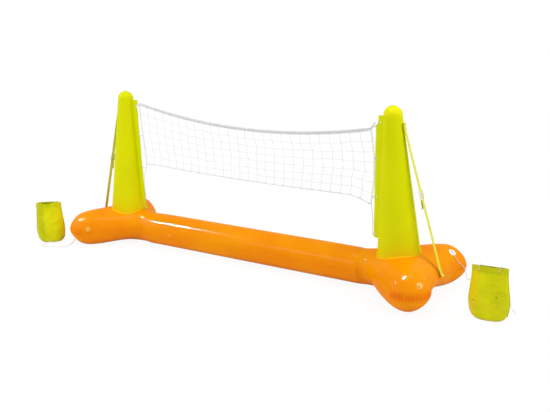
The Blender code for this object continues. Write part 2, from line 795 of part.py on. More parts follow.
def valve(word, frame):
    """A valve cup with its stopper, in a frame whose Z leaves the skin and whose X points to the hinge."""
    ear_top = VALVE_STEM_HEIGHT
    cup = turned(
        f"valve_cup_{word}",
        [
            (0.0, -VALVE_BORE_DEPTH),
            (VALVE_BORE_RADIUS, -VALVE_BORE_DEPTH),
            (VALVE_BORE_RADIUS, VALVE_STEM_HEIGHT),
            (VALVE_STEM_RADIUS - 0.0004, VALVE_STEM_HEIGHT),
            (VALVE_STEM_RADIUS, VALVE_STEM_HEIGHT - 0.0006),
            (VALVE_STEM_RADIUS + 0.0006, VALVE_LIP),
            (VALVE_RADIUS - 0.0012, VALVE_LIP),
            (VALVE_RADIUS, VALVE_LIP - 0.0010),
            (VALVE_RADIUS, -VALVE_DEPTH),
            (0.0, -VALVE_DEPTH),
        ],
        CLEAR_WHITE,
    )
    cup.matrix_world = frame
    half = HINGE_WIDTH / 2
    ear = block(
        f"valve_ear_{word}",
        (HINGE_OFFSET - HINGE_EAR / 2, -half, 0),
        (HINGE_OFFSET + HINGE_EAR / 2, half, ear_top),
    )
    ear.matrix_world = frame
    boolean(cup, ear, "UNION")
    cap_low = VALVE_STEM_HEIGHT + GAP
    hinge = Vector((HINGE_OFFSET, 0, cap_low + PLUG_CAP_THICKNESS / 2))
    cap_top = cap_low + PLUG_CAP_THICKNESS
    stopper = turned(
        f"valve_stopper_{word}",
        [
            (0.0, cap_top),
            (PLUG_CAP_RADIUS - 0.0005, cap_top),
            (PLUG_CAP_RADIUS, cap_top - 0.0005),
            (PLUG_CAP_RADIUS, cap_low),
            (PLUG_PIN_RADIUS, cap_low),
            (PLUG_PIN_TIP, cap_low - PLUG_PIN_LENGTH),
            (0.0, cap_low - PLUG_PIN_LENGTH),
        ],
        CLEAR_WHITE,
    )
    stopper.data.transform(Matrix.Translation(-hinge))
    stopper.modifiers["turn"].object = add(f"stopper_axis_{word}", None)
    stopper.modifiers["turn"].object.matrix_world = frame
    arm = block(
        f"stopper_arm_{word}",
        Vector((PLUG_CAP_RADIUS - 0.002, -half, cap_low + 0.0002)) - hinge,
        Vector((HINGE_OFFSET + 0.0007, half, cap_top - 0.0003)) - hinge,
    )
    for obj in (stopper, arm):
        obj.matrix_world = frame @ Matrix.Translation(hinge)
    boolean(stopper, arm, "UNION")
    return cup, stopper


def surface_of(obj):
    bpy.context.view_layer.update()
    return BVHTree.FromObject(obj, bpy.context.evaluated_depsgraph_get())


def on_lobe(surface, side, back, direction, lift=0.0):
    """A place on a lobe's skin, or a little off it, and the way out of the skin there."""
    centre = Vector((side * LOBE_X, back * LOBE_Y, LOBE_HEIGHT - LOBE_FLAT))
    place, normal, _, _ = surface.ray_cast(centre, Vector(direction))
    return place + normal * lift, normal


def base_valve_frame(surface, side, direction):
    place, out = on_lobe(surface, side, -1, direction)
    return frame_of(Vector((0, 0, 1)).cross(out), out, place)


def post_valve_frame(side):
    slope = math.atan2(POST_FOOT_RADIUS - POST_DOME_RADIUS, post_length())
    flat = Vector((side * math.cos(POST_VALVE_ANGLE), math.sin(POST_VALVE_ANGLE), 0))
    out = flat * math.cos(slope) + Vector((0, 0, math.sin(slope)))
    place = flat * post_radius(POST_VALVE_ALONG) + Vector((0, 0, POST_VALVE_ALONG))
    local = frame_of((0, 0, 1), out, place)
    return post_axis(side) @ local


def mirrored(side, direction):
    return side * direction[0], direction[1], direction[2]


def anchor_frame(surface, side):
    """Z leaves the skin and X is the way that the cord goes."""
    place, out = on_lobe(surface, side, 1, mirrored(side, ANCHOR_DIRECTION))
    onward, _ = on_lobe(surface, side, 1, mirrored(side, CORD_DIRECTION))
    return frame_of(onward - place, out, place)


def anchor_patch(name, frame, skin_outer, skin_inner):
    """A round patch that follows the skin, with an arch over the cord."""
    patch = cylinder(name, ANCHOR_PATCH_RADIUS, -0.012, 0.010, CLEAR_WHITE)
    patch.matrix_world = frame
    points = []
    for k in range(9):
        angle = math.radians(-20 + 220 * k / 8)
        points.append(Vector((0, math.cos(angle), math.sin(angle))) * ARCH_RADIUS)
    arch = tube(name + "_arch", points, ARCH_WIRE, CLEAR_WHITE)
    arch.matrix_world = frame
    arch = as_mesh(arch)
    boolean(patch, skin_outer, "INTERSECT")
    boolean(patch, arch, "UNION")
    boolean(patch, skin_inner, "DIFFERENCE")
    return patch


def knot(name, place):
    bm = bmesh.new()
    bmesh.ops.create_icosphere(bm, subdivisions=2, radius=KNOT_RADIUS)
    obj = add(name, mesh_from(name, bm), NET_WHITE)
    obj.location = place
    return obj


def bag_frame(bag):
    x, y, turn = bag
    return Matrix.Translation((x, y, 0)) @ Matrix.Rotation(turn, 4, "Z")


def bag_rings():
    """Height, half width and half depth of the pouch, from the flat of its bottom to its mouth."""
    return [
        (0.0, 0.50 * BAG_HALF_WIDTH, 0.34 * BAG_HALF_DEPTH),
        (0.0, 0.80 * BAG_HALF_WIDTH, 0.72 * BAG_HALF_DEPTH),
        (0.085 * BAG_HEIGHT, 1.00 * BAG_HALF_WIDTH, 0.92 * BAG_HALF_DEPTH),
        (0.30 * BAG_HEIGHT, 1.04 * BAG_HALF_WIDTH, 1.00 * BAG_HALF_DEPTH),
        (0.56 * BAG_HEIGHT, 0.98 * BAG_HALF_WIDTH, 0.84 * BAG_HALF_DEPTH),
        (0.80 * BAG_HEIGHT, 0.91 * BAG_HALF_WIDTH, 0.48 * BAG_HALF_DEPTH),
        (BAG_HEIGHT, 0.90 * BAG_HALF_WIDTH, BAG_MOUTH_DEPTH),
    ]


def on_bag(surface, x, z, facing, clear):
    """A place off the front (-1) or back (1) face of the pouch, in the pouch's own frame."""
    start = Vector((x, facing * 3 * BAG_HALF_DEPTH, z))
    place, normal, _, _ = surface.ray_cast(start, Vector((0, -facing, 0)))
    return place + normal * clear


def anchor_bag(name, bag):
    """A pouch with a flat bottom and a flattened open mouth, tie holes in its hem and drains in its face."""
    bm = bmesh.new()
    rows = []
    for z, wide, deep in bag_rings():
        row = []
        for k in range(8):
            angle = math.radians(45 * k)
            row.append(bm.verts.new((wide * math.cos(angle), deep * math.sin(angle), z)))
        rows.append(row)
    for low, high in zip(rows, rows[1:]):
        for k in range(8):
            n = (k + 1) % 8
            bm.faces.new((low[k], low[n], high[n], high[k]))
    middle = bm.verts.new((0, 0, 0))
    for k in range(0, 8, 2):
        bm.faces.new((middle, rows[0][(k + 2) % 8], rows[0][k + 1], rows[0][k]))
    obj = add(name, mesh_from(name, bm), LIME)
    subdivide(obj, 1)
    fit_cage(obj)
    stand(obj)
    shell = obj.modifiers.new("shell", "SOLIDIFY")
    shell.thickness = BAG_WALL
    shell.offset = -1.0
    shell.use_even_offset = True
    frame = bag_frame(bag)
    obj.matrix_world = frame
    surface = surface_of(obj)
    across = Matrix.Rotation(math.radians(90), 4, "X")
    reach = 2 * BAG_HALF_DEPTH
    spots = [(x, BAG_LOOP_Z, -reach) for x in (-BAG_LOOP_X, BAG_LOOP_X)]
    spots += [(x, z, 0.0) for x, z in BAG_DRAINS]
    for k, (x, z, back) in enumerate(spots):
        hole = cylinder(f"{name}_hole_{k}", BAG_HOLE_RADIUS, back, reach, sides=12)
        hole.matrix_world = frame @ Matrix.Translation((x, 0, z)) @ across
        boolean(obj, hole, "DIFFERENCE")
    return surface


def bag_loop(name, bag, x, surface):
    """A cord loop through both walls of the hem and over its rim."""
    heights = (BAG_LOOP_Z - 0.006, BAG_LOOP_Z + 0.006, BAG_HEIGHT - 0.002)
    depths = [on_bag(surface, x, z, 1, 0).y for z in heights]
    over_wall = Vector((x, depths[-1] - BAG_WALL / 2, 2 * BAG_HEIGHT))
    rim = surface.ray_cast(over_wall, Vector((0, 0, -1)))[0].z
    deep = max(depths) + BAG_LOOP_RADIUS + BAG_SLACK
    low, high = BAG_LOOP_Z, rim + BAG_LOOP_RADIUS + GAP
    corner = 0.004
    points = []
    for sy, z, start in ((1, low, -90), (1, high, 0), (-1, high, 90), (-1, low, 180)):
        centre = Vector((x, sy * (deep - corner), z + (corner if z == low else -corner)))
        for k in range(3):
            angle = math.radians(start + 45 * k)
            points.append(centre + Vector((0, math.cos(angle), math.sin(angle))) * corner)
    obj = tube(name, points, BAG_LOOP_RADIUS, NET_WHITE, closed=True)
    obj.matrix_world = bag_frame(bag)
    return bag_frame(bag) @ Vector((x, deep + BAG_LOOP_RADIUS + GAP + KNOT_RADIUS, BAG_LOOP_Z + 0.009))


def over_lobe(surface, frame, side):
    """The first places of a cord: under the arch of its patch, then down over the lobe."""
    points = [frame @ Vector(p) for p in ((-0.0018, 0, 0.0036), (0.004, 0, 0.0034), (0.012, 0, 0.0033))]
    for direction in ((0.70, -0.46, 0.55), CORD_DIRECTION, (0.93, -0.30, 0.20), (0.985, -0.14, 0.02)):
        place, _ = on_lobe(surface, side, 1, mirrored(side, direction), TETHER_LIFT)
        points.append(place)
    return points


def laid(points):
    """The same path, kept from sinking into the ground."""
    return [Vector((p.x, p.y, max(p.z, TETHER_RADIUS + GAP))) for p in points]


def up_the_back(surface, bag, x, knot_place):
    """From near the ground up behind the pouch to the underside of a knot."""
    frame = bag_frame(bag)
    heights = [share * BAG_HEIGHT for share in (0.20, 0.38, 0.56, 0.74)]
    points = [frame @ on_bag(surface, x, height, 1, TETHER_LIFT) for height in heights]
    points.append(knot_place + Vector((0, 0, -KNOT_RADIUS - GAP)))
    return points


def right_tether(points, climb):
    """Down off the lobe to the ground, round behind the bag and up its back to the hem."""
    points += [
        (1.1760, 0.214, 0.070),
        (1.1740, 0.240, 0.040),
        (1.1670, 0.268, 0.015),
        (1.1610, 0.290, 0.0040),
        (1.1600, 0.306, 0.0018),
        (1.1700, 0.320, 0.0018),
        (1.1920, 0.326, 0.0018),
        (1.2300, 0.312, 0.0018),
        (1.2750, 0.262, 0.0018),
        (1.3150, 0.185, 0.0018),
        (1.3450, 0.100, 0.0018),
        (1.3600, 0.030, 0.0018),
        (1.3670, -0.030, 0.0024),
        climb[0] + Vector((0, 0.014, -0.036)),
    ]
    return laid(smooth_path([*points, *climb], 60))


def right_tail(climb):
    """The free end: down the back of the bag and out on the ground beside it."""
    points = [
        *reversed(climb),
        climb[0] + Vector((-0.001, 0.014, -0.034)),
        (1.4610, -0.0200, 0.0024),
        (1.4450, 0.0200, 0.0018),
        (1.4330, 0.0600, 0.0018),
        (1.4410, 0.0830, 0.0018),
        (1.4560, 0.0660, 0.0018),
        (1.4750, 0.0270, 0.0018),
        (1.5040, -0.0180, 0.0018),
    ]
    return laid(smooth_path(points, 40))


def left_tether(points, knot_place):
    """Down off the lobe, along the ground past the end of the base and round to the bag's foot."""
    points += [
        (-1.1760, 0.170, 0.070),
        (-1.1750, 0.145, 0.036),
        (-1.1790, 0.115, 0.010),
        (-1.1870, 0.075, 0.0018),
        (-1.2050, 0.010, 0.0018),
        (-1.2200, -0.060, 0.0018),
        (-1.2230, -0.130, 0.0018),
        (-1.2050, -0.200, 0.0018),
        (-1.1700, -0.250, 0.0018),
        (-1.1370, -0.300, 0.0018),
        (-1.1300, -0.340, 0.0018),
        (-1.1560, -0.368, 0.0018),
        (-1.2030, -0.392, 0.0018),
        (-1.2460, -0.412, 0.0018),
        (-1.2720, -0.408, 0.0018),
        (-1.2800, -0.388, 0.0022),
    ]
    points.append(knot_place + Vector((-0.0006, -KNOT_RADIUS - GAP, -0.0012)))
    return laid(smooth_path(points, 60))


def add_base():
    skin = base_skin("base_float", ORANGE)
    seat = offset_copy(skin, "base_seat", GAP)
    patch = offset_copy(skin, "base_patch_skin", GAP + PATCH_THICKNESS)
    surface = surface_of(skin)
    floor = block("floor_cut", (-1.5, -0.5, -0.1), (1.5, 0.5, 0.0))
    boolean(skin, floor, "DIFFERENCE")
    for word, side, direction in (("left", -1, LEFT_BASE_VALVE), ("right", 1, RIGHT_BASE_VALVE)):
        frame = base_valve_frame(surface, side, direction)
        boolean(skin, valve_pocket(f"base_pocket_{word}", frame), "DIFFERENCE")
        valve(f"base_{word}", frame)
    return seat, patch, surface


def add_post(side, word, base_seat, base_patch):
    shell = post(f"post_{word}", side, LIME)
    seat = offset_copy(shell, f"post_seat_{word}", GAP)
    patch = offset_copy(shell, f"post_patch_skin_{word}", GAP + PATCH_THICKNESS)
    boolean(shell, base_seat, "DIFFERENCE")
    frame = post_valve_frame(side)
    boolean(shell, valve_pocket(f"post_pocket_{word}", frame), "DIFFERENCE")
    valve(f"post_{word}", frame)
    fin(f"net_fin_{word}", side)
    low, top = strap_ends(side)
    lug(f"strap_lug_base_{word}", side, low, base_patch, base_seat)
    lug(f"strap_lug_post_{word}", side, top, patch, seat)
    guy_strap(f"guy_strap_{word}", side)
    buckle(f"strap_buckle_{word}", side)
    strap_tail(f"strap_tail_{word}", side)


def add_anchor(word, side, frame, base_seat, base_patch):
    """Patch, knots, bag and its loops. Gives the bag's surface and the two places for knots behind its hem."""
    bag = RIGHT_BAG if side > 0 else LEFT_BAG
    anchor_patch(f"anchor_patch_{word}", frame, base_patch, base_seat)
    knot(f"tether_knot_float_{word}", frame @ Vector((-0.0055, 0, 0.0050)))
    surface = anchor_bag(f"anchor_bag_{word}", bag)
    sides = ((-BAG_LOOP_X, "a"), (BAG_LOOP_X, "b"))
    return surface, [bag_loop(f"bag_loop_{word}_{end}", bag, x, surface) for x, end in sides]


def add_right_tether(start, surface, ends):
    for word, place in zip(("bag", "tail"), ends):
        knot(f"tether_knot_{word}_right", place)
    sides = (-BAG_LOOP_X, BAG_LOOP_X)
    climbs = [up_the_back(surface, RIGHT_BAG, x, place) for x, place in zip(sides, ends)]
    tube("tether_cord_right", right_tether(start, climbs[0]), TETHER_RADIUS, NET_WHITE)
    tube("tether_tail_right", right_tail(climbs[1]), TETHER_RADIUS, NET_WHITE)


def add_left_tether(start, surface):
    place = bag_frame(LEFT_BAG) @ on_bag(surface, 0.008, 0.014, -1, KNOT_RADIUS + GAP)
    place.z = max(place.z, KNOT_RADIUS + GAP)
    knot("tether_knot_bag_left", place)
    tube("tether_cord_left", left_tether(start, place), TETHER_RADIUS, NET_WHITE)


def main():
    seat, patch, base = add_base()
    add_net()
    starts = {}
    bags = {}
    for side, word in ((-1, "left"), (1, "right")):
        add_post(side, word, seat, patch)
        frame = anchor_frame(base, side)
        bags[side] = add_anchor(word, side, frame, seat, patch)
        starts[side] = over_lobe(base, frame, side)
    add_right_tether(starts[1], *bags[1])
    add_left_tether(starts[-1], bags[-1][0])


main()
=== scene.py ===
"""Looks of the floating volleyball net: vinyl skins, net, cords, straps, bags, camera and studio."""
from math import atan2, copysign, cos, exp, hypot, pi, radians, sin, sqrt, tau

import bmesh
import bpy
import numpy as np
from mathutils import Matrix, Vector, noise
from mathutils.bvhtree import BVHTree
from mathutils.kdtree import KDTree


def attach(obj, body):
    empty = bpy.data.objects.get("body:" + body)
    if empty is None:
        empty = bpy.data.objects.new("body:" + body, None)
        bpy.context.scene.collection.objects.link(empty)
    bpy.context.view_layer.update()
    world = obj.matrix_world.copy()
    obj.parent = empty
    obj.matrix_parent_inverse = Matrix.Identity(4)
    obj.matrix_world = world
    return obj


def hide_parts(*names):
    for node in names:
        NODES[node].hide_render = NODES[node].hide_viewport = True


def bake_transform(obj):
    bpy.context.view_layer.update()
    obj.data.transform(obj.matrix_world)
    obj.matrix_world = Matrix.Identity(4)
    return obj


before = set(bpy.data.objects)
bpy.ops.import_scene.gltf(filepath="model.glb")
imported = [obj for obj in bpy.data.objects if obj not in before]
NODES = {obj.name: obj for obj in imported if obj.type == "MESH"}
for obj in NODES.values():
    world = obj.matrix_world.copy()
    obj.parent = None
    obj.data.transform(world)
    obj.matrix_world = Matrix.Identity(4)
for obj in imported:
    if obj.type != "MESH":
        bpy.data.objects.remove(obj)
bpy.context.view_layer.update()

# Camera, as fitted to the photograph.
CAMERA_PLACE = (2.4955, -3.3338, 1.4086)
CAMERA_TURN = [radians(angle) for angle in (34.7539, 14.7787, -1.7318)]
FOCAL_PIXELS = 780.1045
PHOTO_PIXELS = 550
SENSOR_WIDTH = 36.0

# Base, as in the part's source.
TUBE_RADIUS = 0.0928
TUBE_FLAT = 0.0023
WIDEN_X = 0.775
JUNCTION_HEIGHT = 0.1055
LOBE_RADIUS = 0.105
LOBE_HEIGHT = 0.1005
LOBE_TAPER = 0.86
LOBE_FLAT = 0.0045
LOBE_X = 1.068
LOBE_Y = 0.2166
LOBE_TIP_REACH = 0.62
LIMB_ANGLE = radians(45)
NOTCH_X = 1.130
WAIST_BOW = -0.006
NOTCH_BOW = 0.003
WELD_PITCH = 0.013
HOLLOW_BEND = 9.0
LOBE_BEND = 4.0
FORK_X = 0.84
SEEK = 0.4

# Posts and fins.
POST_FOOT_X = 0.918
POST_TOP_X = 0.8756
POST_FOOT_Z = 0.130
POST_TOP_Z = 0.912
POST_FOOT_RADIUS = 0.112
POST_DOME_RADIUS = 0.0455
POST_SEEK_RUN = 0.20
PATCH_LOW_Z = 0.795
PATCH_X = 0.90
FIN_THICKNESS = 0.0016
FIN_TOP_X = 0.786
FIN_LOW_X = 0.776
FIN_TAB_X = {-1: 0.780, 1: 0.800}
FIN_CORNER_Z = 0.815
FIN_LOW_Z = 0.257
FIN_TAB_Z = 0.844
FIN_TAB_TOP_Z = 0.864
FIN_NOTCH = 0.014
TIE_HEIGHTS = {"top": 0.829, "upper": 0.654, "lower": 0.460, "bottom": 0.271}
TIE_HOLE_RADIUS = 0.003
TIE_HOLE_INSET = 0.009
EYELET_RADIUS = 0.0038

# Net, with its left side as -1 and its right side as 1.
NET_COLUMNS = 26
NET_ROWS = 7
NET_X = {-1: -0.737, 1: 0.757}
NET_TOP_Z = 0.732
NET_TOP_DIP_X = 0.12
NET_TOP_RISE = 0.130
NET_BOTTOM_Z = 0.4585
NET_BOTTOM_DIP_X = 0.35
NET_BOTTOM_RISE = 0.028
NET_DROOPS = {-1: 0.006, 1: 0.036}
NET_DROOP_REACH = 0.15
NET_CORD = 0.0018
NET_CLEAR = NET_CORD / 2 + 0.0006
TAPE_HEIGHT = 0.0155
TAPE_THICKNESS = 0.0045
TAPE_STITCH = 0.0042
BOTTOM_CORD_RADIUS = 0.0018
SIDE_CORD_RADIUS = 0.0016
TIE_RADIUS = 0.0008

# Guy straps.
STRAP_LOW = Vector((1.140, 0, 0.108))
STRAP_TOP = Vector((0.93054, 0, 0.832))
STRAP_WIDTH = 0.022
STRAP_THICKNESS = 0.001
STRAP_STITCH = 0.0022
BUCKLE_AT = 0.406
BUCKLE_HALF = 0.020
BUCKLE_STEP = 0.0023

# Bags.
BAG_HALF_WIDTH = 0.086
BAG_HALF_DEPTH = 0.044
BAG_HEIGHT = 0.247
BAG_MOUTH_DEPTH = 0.0135
BAG_WALL = 0.0010
BAG_HOLE_RADIUS = 0.0028
BAG_LOOP_X = 0.045
BAG_LOOP_Z = BAG_HEIGHT - 0.019
BAG_LOOP_TOP = 0.2494
BAG_DRAINS = ((-0.062, 0.092), (0.040, 0.118))
BAGS = {1: (1.4165, -0.1274, radians(5)), -1: (-1.302, -0.303, radians(38))}
TETHER_RADIUS = 0.0015
WORDS = {-1: "left", 1: "right"}
ALONG_Y = Matrix.Rotation(radians(90), 4, "X")


def tenths(*places):
    """Places given in tenths of a millimetre."""
    return [tuple(value / 10000 for value in place) for place in places]


ROUTE_RIGHT = tenths(
    (11180, 1816, 1779), (11353, 1729, 1575), (11507, 1728, 1345), (11661, 1868, 1153), (11753, 2029, 942),
    (11760, 2150, 687), (11749, 2332, 470), (11710, 2532, 272), (11649, 2752, 105), (11597, 3014, 19),
    (11755, 3232, 18), (12033, 3243, 18), (12291, 3127, 18), (12500, 2935, 18), (12681, 2717, 18),
    (12837, 2480, 18), (12973, 2231, 18), (13095, 1974, 18), (13207, 1713, 18), (13306, 1448, 18),
    (13396, 1178, 18), (13476, 906, 18), (13540, 629, 18), (13592, 350, 18), (13634, 69, 18),
    (13664, -213, 19), (13676, -495, 45), (13673, -765, 125), (13673, -901, 365), (13673, -930, 647),
    (13673, -926, 930), (13676, -953, 1213), (13681, -1001, 1492), (13687, -1067, 1769),
    (13693, -1090, 2051), (13697, -1092, 2335),
)
ROUTE_TAIL = tenths(
    (14594, -1015, 2335), (14598, -1015, 2115), (14600, -1010, 1896), (14599, -974, 1679),
    (14594, -917, 1467), (14591, -878, 1250), (14590, -853, 1032), (14589, -845, 813), (14589, -850, 593),
    (14585, -820, 376), (14578, -731, 178), (14596, -536, 84), (14615, -321, 41), (14587, -106, 18),
    (14496, 94, 18), (14414, 298, 18), (14347, 507, 18), (14342, 724, 18), (14491, 770, 18),
    (14602, 580, 18), (14693, 380, 18), (14799, 188, 18), (14919, 3, 18), (15040, -180, 18),
)
ROUTE_LEFT = tenths(
    (-11180, 1816, 1779), (-11357, 1725, 1569), (-11516, 1735, 1334), (-11670, 1890, 1143),
    (-11758, 1964, 915), (-11760, 1735, 735), (-11752, 1558, 503), (-11756, 1374, 276), (-11790, 1146, 99),
    (-11842, 869, 28), (-11914, 586, 18), (-11995, 306, 18), (-12069, 23, 18), (-12138, -261, 18),
    (-12193, -548, 18), (-12227, -838, 18), (-12240, -1130, 18), (-12214, -1421, 18), (-12152, -1706, 18),
    (-12057, -1983, 18), (-11907, -2232, 18), (-11728, -2463, 18), (-11557, -2700, 18), (-11398, -2945, 18),
    (-11297, -3218, 18), (-11351, -3496, 18), (-11570, -3687, 18), (-11827, -3825, 18), (-12091, -3951, 18),
    (-12352, -4083, 18), (-12636, -4119, 18), (-12802, -3906, 23), (-12762, -3621, 67),
    (-12707, -3339, 120),
)


def vec(x, y, z):
    return Vector((x, y, z))


def linked(name, data):
    obj = bpy.data.objects.new(name, data)
    bpy.context.scene.collection.objects.link(obj)
    return obj


# Camera.
def add_camera():
    yaw, pitch, roll = CAMERA_TURN
    ahead = vec(-sin(yaw) * cos(pitch), cos(yaw) * cos(pitch), -sin(pitch))
    side = vec(cos(yaw), sin(yaw), 0)
    up = side.cross(ahead)
    right = side * cos(roll) + up * sin(roll)
    top = up * cos(roll) - side * sin(roll)
    data = bpy.data.cameras.new("camera")
    data.sensor_width = SENSOR_WIDTH
    data.lens = FOCAL_PIXELS / PHOTO_PIXELS * SENSOR_WIDTH
    data.clip_end = 60.0
    made = linked("camera", data)
    turn = Matrix((right, top, -ahead)).transposed().to_4x4()
    made.matrix_world = Matrix.Translation(CAMERA_PLACE) @ turn
    bpy.context.scene.camera = made


# Materials.
def node(look, kind, inputs, **settings):
    """A node with its inputs set to numbers or linked to other nodes' outputs."""
    made = look.node_tree.nodes.new(kind)
    for key, value in settings.items():
        setattr(made, key, value)
    for key, value in inputs.items():
        if isinstance(value, Value):
            look.node_tree.links.new(value.socket, made.inputs[key])
        else:
            made.inputs[key].default_value = value
    return made


def value_of(look, kind, inputs, output=0, **settings):
    return Value(look, node(look, kind, inputs, **settings).outputs[output])


class Value:
    """A node's output that can be added, multiplied and ramped."""

    def __init__(self, look, socket):
        self.look = look
        self.socket = socket

    def maths(self, operation, *others):
        return value_of(self.look, "ShaderNodeMath", dict(enumerate((self, *others))), operation=operation)

    def __add__(self, other):
        return self.maths("ADD", other)

    def __mul__(self, other):
        return self.maths("MULTIPLY", other)

    def noise(self, scale, detail):
        inputs = {"Vector": self, "Scale": scale, "Detail": detail, "Roughness": 0.5}
        return value_of(self.look, "ShaderNodeTexNoise", inputs)

    def ramp(self, low, high, to_low=0.0, to_high=1.0):
        inputs = {"Value": self, "From Min": low, "From Max": high, "To Min": to_low, "To Max": to_high}
        return value_of(self.look, "ShaderNodeMapRange", inputs, interpolation_type="SMOOTHSTEP")

    def split(self):
        made = node(self.look, "ShaderNodeSeparateXYZ", {"Vector": self})
        return [Value(self.look, output) for output in made.outputs]


def new_look(name, colour, roughness, **sockets):
    look = bpy.data.materials.new(name)
    look.use_nodes = True
    shader = look.node_tree.nodes["Principled BSDF"]
    shader.inputs["Base Color"].default_value = (*colour, 1.0)
    shader.inputs["Roughness"].default_value = roughness
    for socket, value in sockets.items():
        shader.inputs[socket.replace("_", " ")].default_value = value
    return look


def finished(look, height, **values):
    """Feeds values to the shader's sockets, and bumps with the height in metres."""
    values["Normal"] = value_of(look, "ShaderNodeBump", {"Height": height, "Distance": 1.0, "Strength": 1.0})
    shader = look.node_tree.nodes["Principled BSDF"]
    for socket, value in values.items():
        look.node_tree.links.new(value.socket, shader.inputs[socket.replace("_", " ")])
    return look


def mixed(factor, a, b):
    """Colour a where the factor is 0, colour b where it is 1."""
    ends = {k: colour if isinstance(colour, Value) else (*colour, 1.0) for k, colour in ((6, a), (7, b))}
    return value_of(factor.look, "ShaderNodeMix", {"Factor": factor, **ends}, 2, data_type="RGBA")


def place_of(look):
    return value_of(look, "ShaderNodeTexCoord", {}, "Object")


def field_of(look, name):
    """The three numbers that the mesh holds under a name."""
    return value_of(look, "ShaderNodeAttribute", {}, "Vector", attribute_name=name).split()


def uv_of(look):
    """The run along a cord or band and the place across it."""
    return value_of(look, "ShaderNodeUVMap", {}, uv_map="UVMap").split()[:2]


def tinted(look, tone, tints):
    """The tone turned towards each tint by the share that the mesh holds for it."""
    for share, tint in zip(field_of(look, "tone"), tints):
        tone = mixed(share, tone, tint)
    return tone


def puckers(look, place, pitch, reach):
    """Folds across the weld: their lift, painted shade in the dips between them, and the redder edge by the
    weld.
    """
    run, off, weight = field_of(look, "seam")
    phase = run * (pi / pitch) + place.noise(22.0, 1.0) * 9.0
    uneven = place.noise(15.0, 1.0).ramp(0.34, 0.60, 0.15, 1.0)
    near = off.ramp(0.0, reach, 1.0, 0.0) * weight * uneven
    crest = phase.maths("SINE").maths("ABSOLUTE")
    # The second value is painted shade, strongest in the dip of each fold.
    return crest * near, crest.ramp(0.05, 0.55, 1.0, 0.0) * near, off.ramp(0.0, reach, 0.35, 0.0) * weight


def vinyl(name, colour, deep, roughness=0.17, pitch=WELD_PITCH, reach=0.030, seamed=True, tints=()):
    """Inflated vinyl: a soft mottle, fine orange peel, and puckers square to its seams, with painted shade in
    the dips between them.
    """
    look = new_look(name, colour, roughness, Specular_IOR_Level=0.0, Coat_Weight=0.11, Coat_Roughness=0.13)
    place = place_of(look)
    height = place.noise(520.0, 1.0) * 0.00003 + place.noise(26.0, 2.0) * 0.0004
    shade = place.noise(5.0, 3.0).ramp(0.36, 0.66) * 0.25
    if seamed:
        fold, painted_valley_shade, redder = puckers(look, place, pitch, reach)
        height = height + fold * 0.0009
        # Painted shade in the pucker dips, added to the mottle and the redder band by the weld.
        shade = shade + redder + painted_valley_shade
    tone = mixed(shade, colour, deep)
    # Tints from the mesh's tone shares; on the posts they paint sheen and bounce light.
    if tints:
        tone = tinted(look, tone, tints)
    rough = place.noise(3.5, 3.0).ramp(0.3, 0.75, roughness - 0.04, roughness + 0.08)
    return finished(look, height, Base_Color=tone, Roughness=rough)


def crumpled(name, colour, deep, tints, roughness=0.34):
    """Thin loose vinyl with fine creases."""
    look = new_look(name, colour, roughness, Specular_IOR_Level=0.10)
    place = place_of(look)
    cells = {"Vector": place, "Scale": 26.0}
    edge = value_of(look, "ShaderNodeTexVoronoi", cells, "Distance", feature="DISTANCE_TO_EDGE")
    crease = edge.ramp(0.0, 0.09, 1.0, 0.0) * place.noise(9.0, 2.0).ramp(0.45, 0.65)
    height = crease * 0.0004 + place.noise(48.0, 3.0) * 0.0009
    # Tints from the mesh's tone shares; on the bags they paint shade and bounce light.
    tone = tinted(look, mixed(place.noise(11.0, 3.0).ramp(0.35, 0.80), colour, deep), tints)
    rough = place.noise(30.0, 2.0).ramp(0.3, 0.7, roughness - 0.06, roughness + 0.1)
    return finished(look, height, Base_Color=tone, Roughness=rough)


def twisted(name, colour, pitch):
    """Twisted cord: strands wind round the run of the cord, with painted shade in the grooves between them
    and a little fluff.
    """
    look = new_look(name, colour, 0.72, Sheen_Weight=0.25, Specular_IOR_Level=0.25)
    run, turn = uv_of(look)
    ridge = ((run.maths("DIVIDE", pitch) + turn) * (6 * pi)).maths("SINE").maths("ABSOLUTE")
    fluff = place_of(look).noise(900.0, 2.0)
    # Painted shade: the cord turns towards its deeper colour in the grooves between strands.
    shade = ridge * -0.7 + 0.7 + fluff * 0.2
    tone = mixed(shade, colour, tuple(c * 0.74 for c in colour))
    return finished(look, ridge * 0.00022 + fluff * 0.00008, Base_Color=tone)


def woven(name, colour, deep, rib=0.0016, across=0.0011):
    """Flat woven band: warp ribs along it and picks across it, from its own run and width."""
    look = new_look(name, colour, 0.5, Sheen_Weight=0.15, Specular_IOR_Level=0.3)
    run, side = uv_of(look)
    warp = (side * (tau / across)).maths("SINE")
    weave = warp * (run * (tau / rib)).maths("SINE")
    shade = weave * 0.25 + place_of(look).noise(60.0, 3.0) * 0.6
    return finished(look, (weave + warp) * 0.00009, Base_Color=mixed(shade, colour, deep))


def milky(name, colour, clear=0.35, roughness=0.22):
    """Moulded translucent plastic with faint flow marks."""
    look = new_look(name, colour, roughness, Transmission_Weight=clear, IOR=1.46)
    place = place_of(look)
    tone = mixed(place.noise(160.0, 3.0).ramp(0.3, 0.7), colour, tuple(c * 0.88 for c in colour))
    rough = place.noise(300.0, 2.0).ramp(0.3, 0.7, roughness - 0.06, roughness + 0.1)
    return finished(look, place.noise(700.0, 1.0) * 0.00003, Base_Color=tone, Roughness=rough)
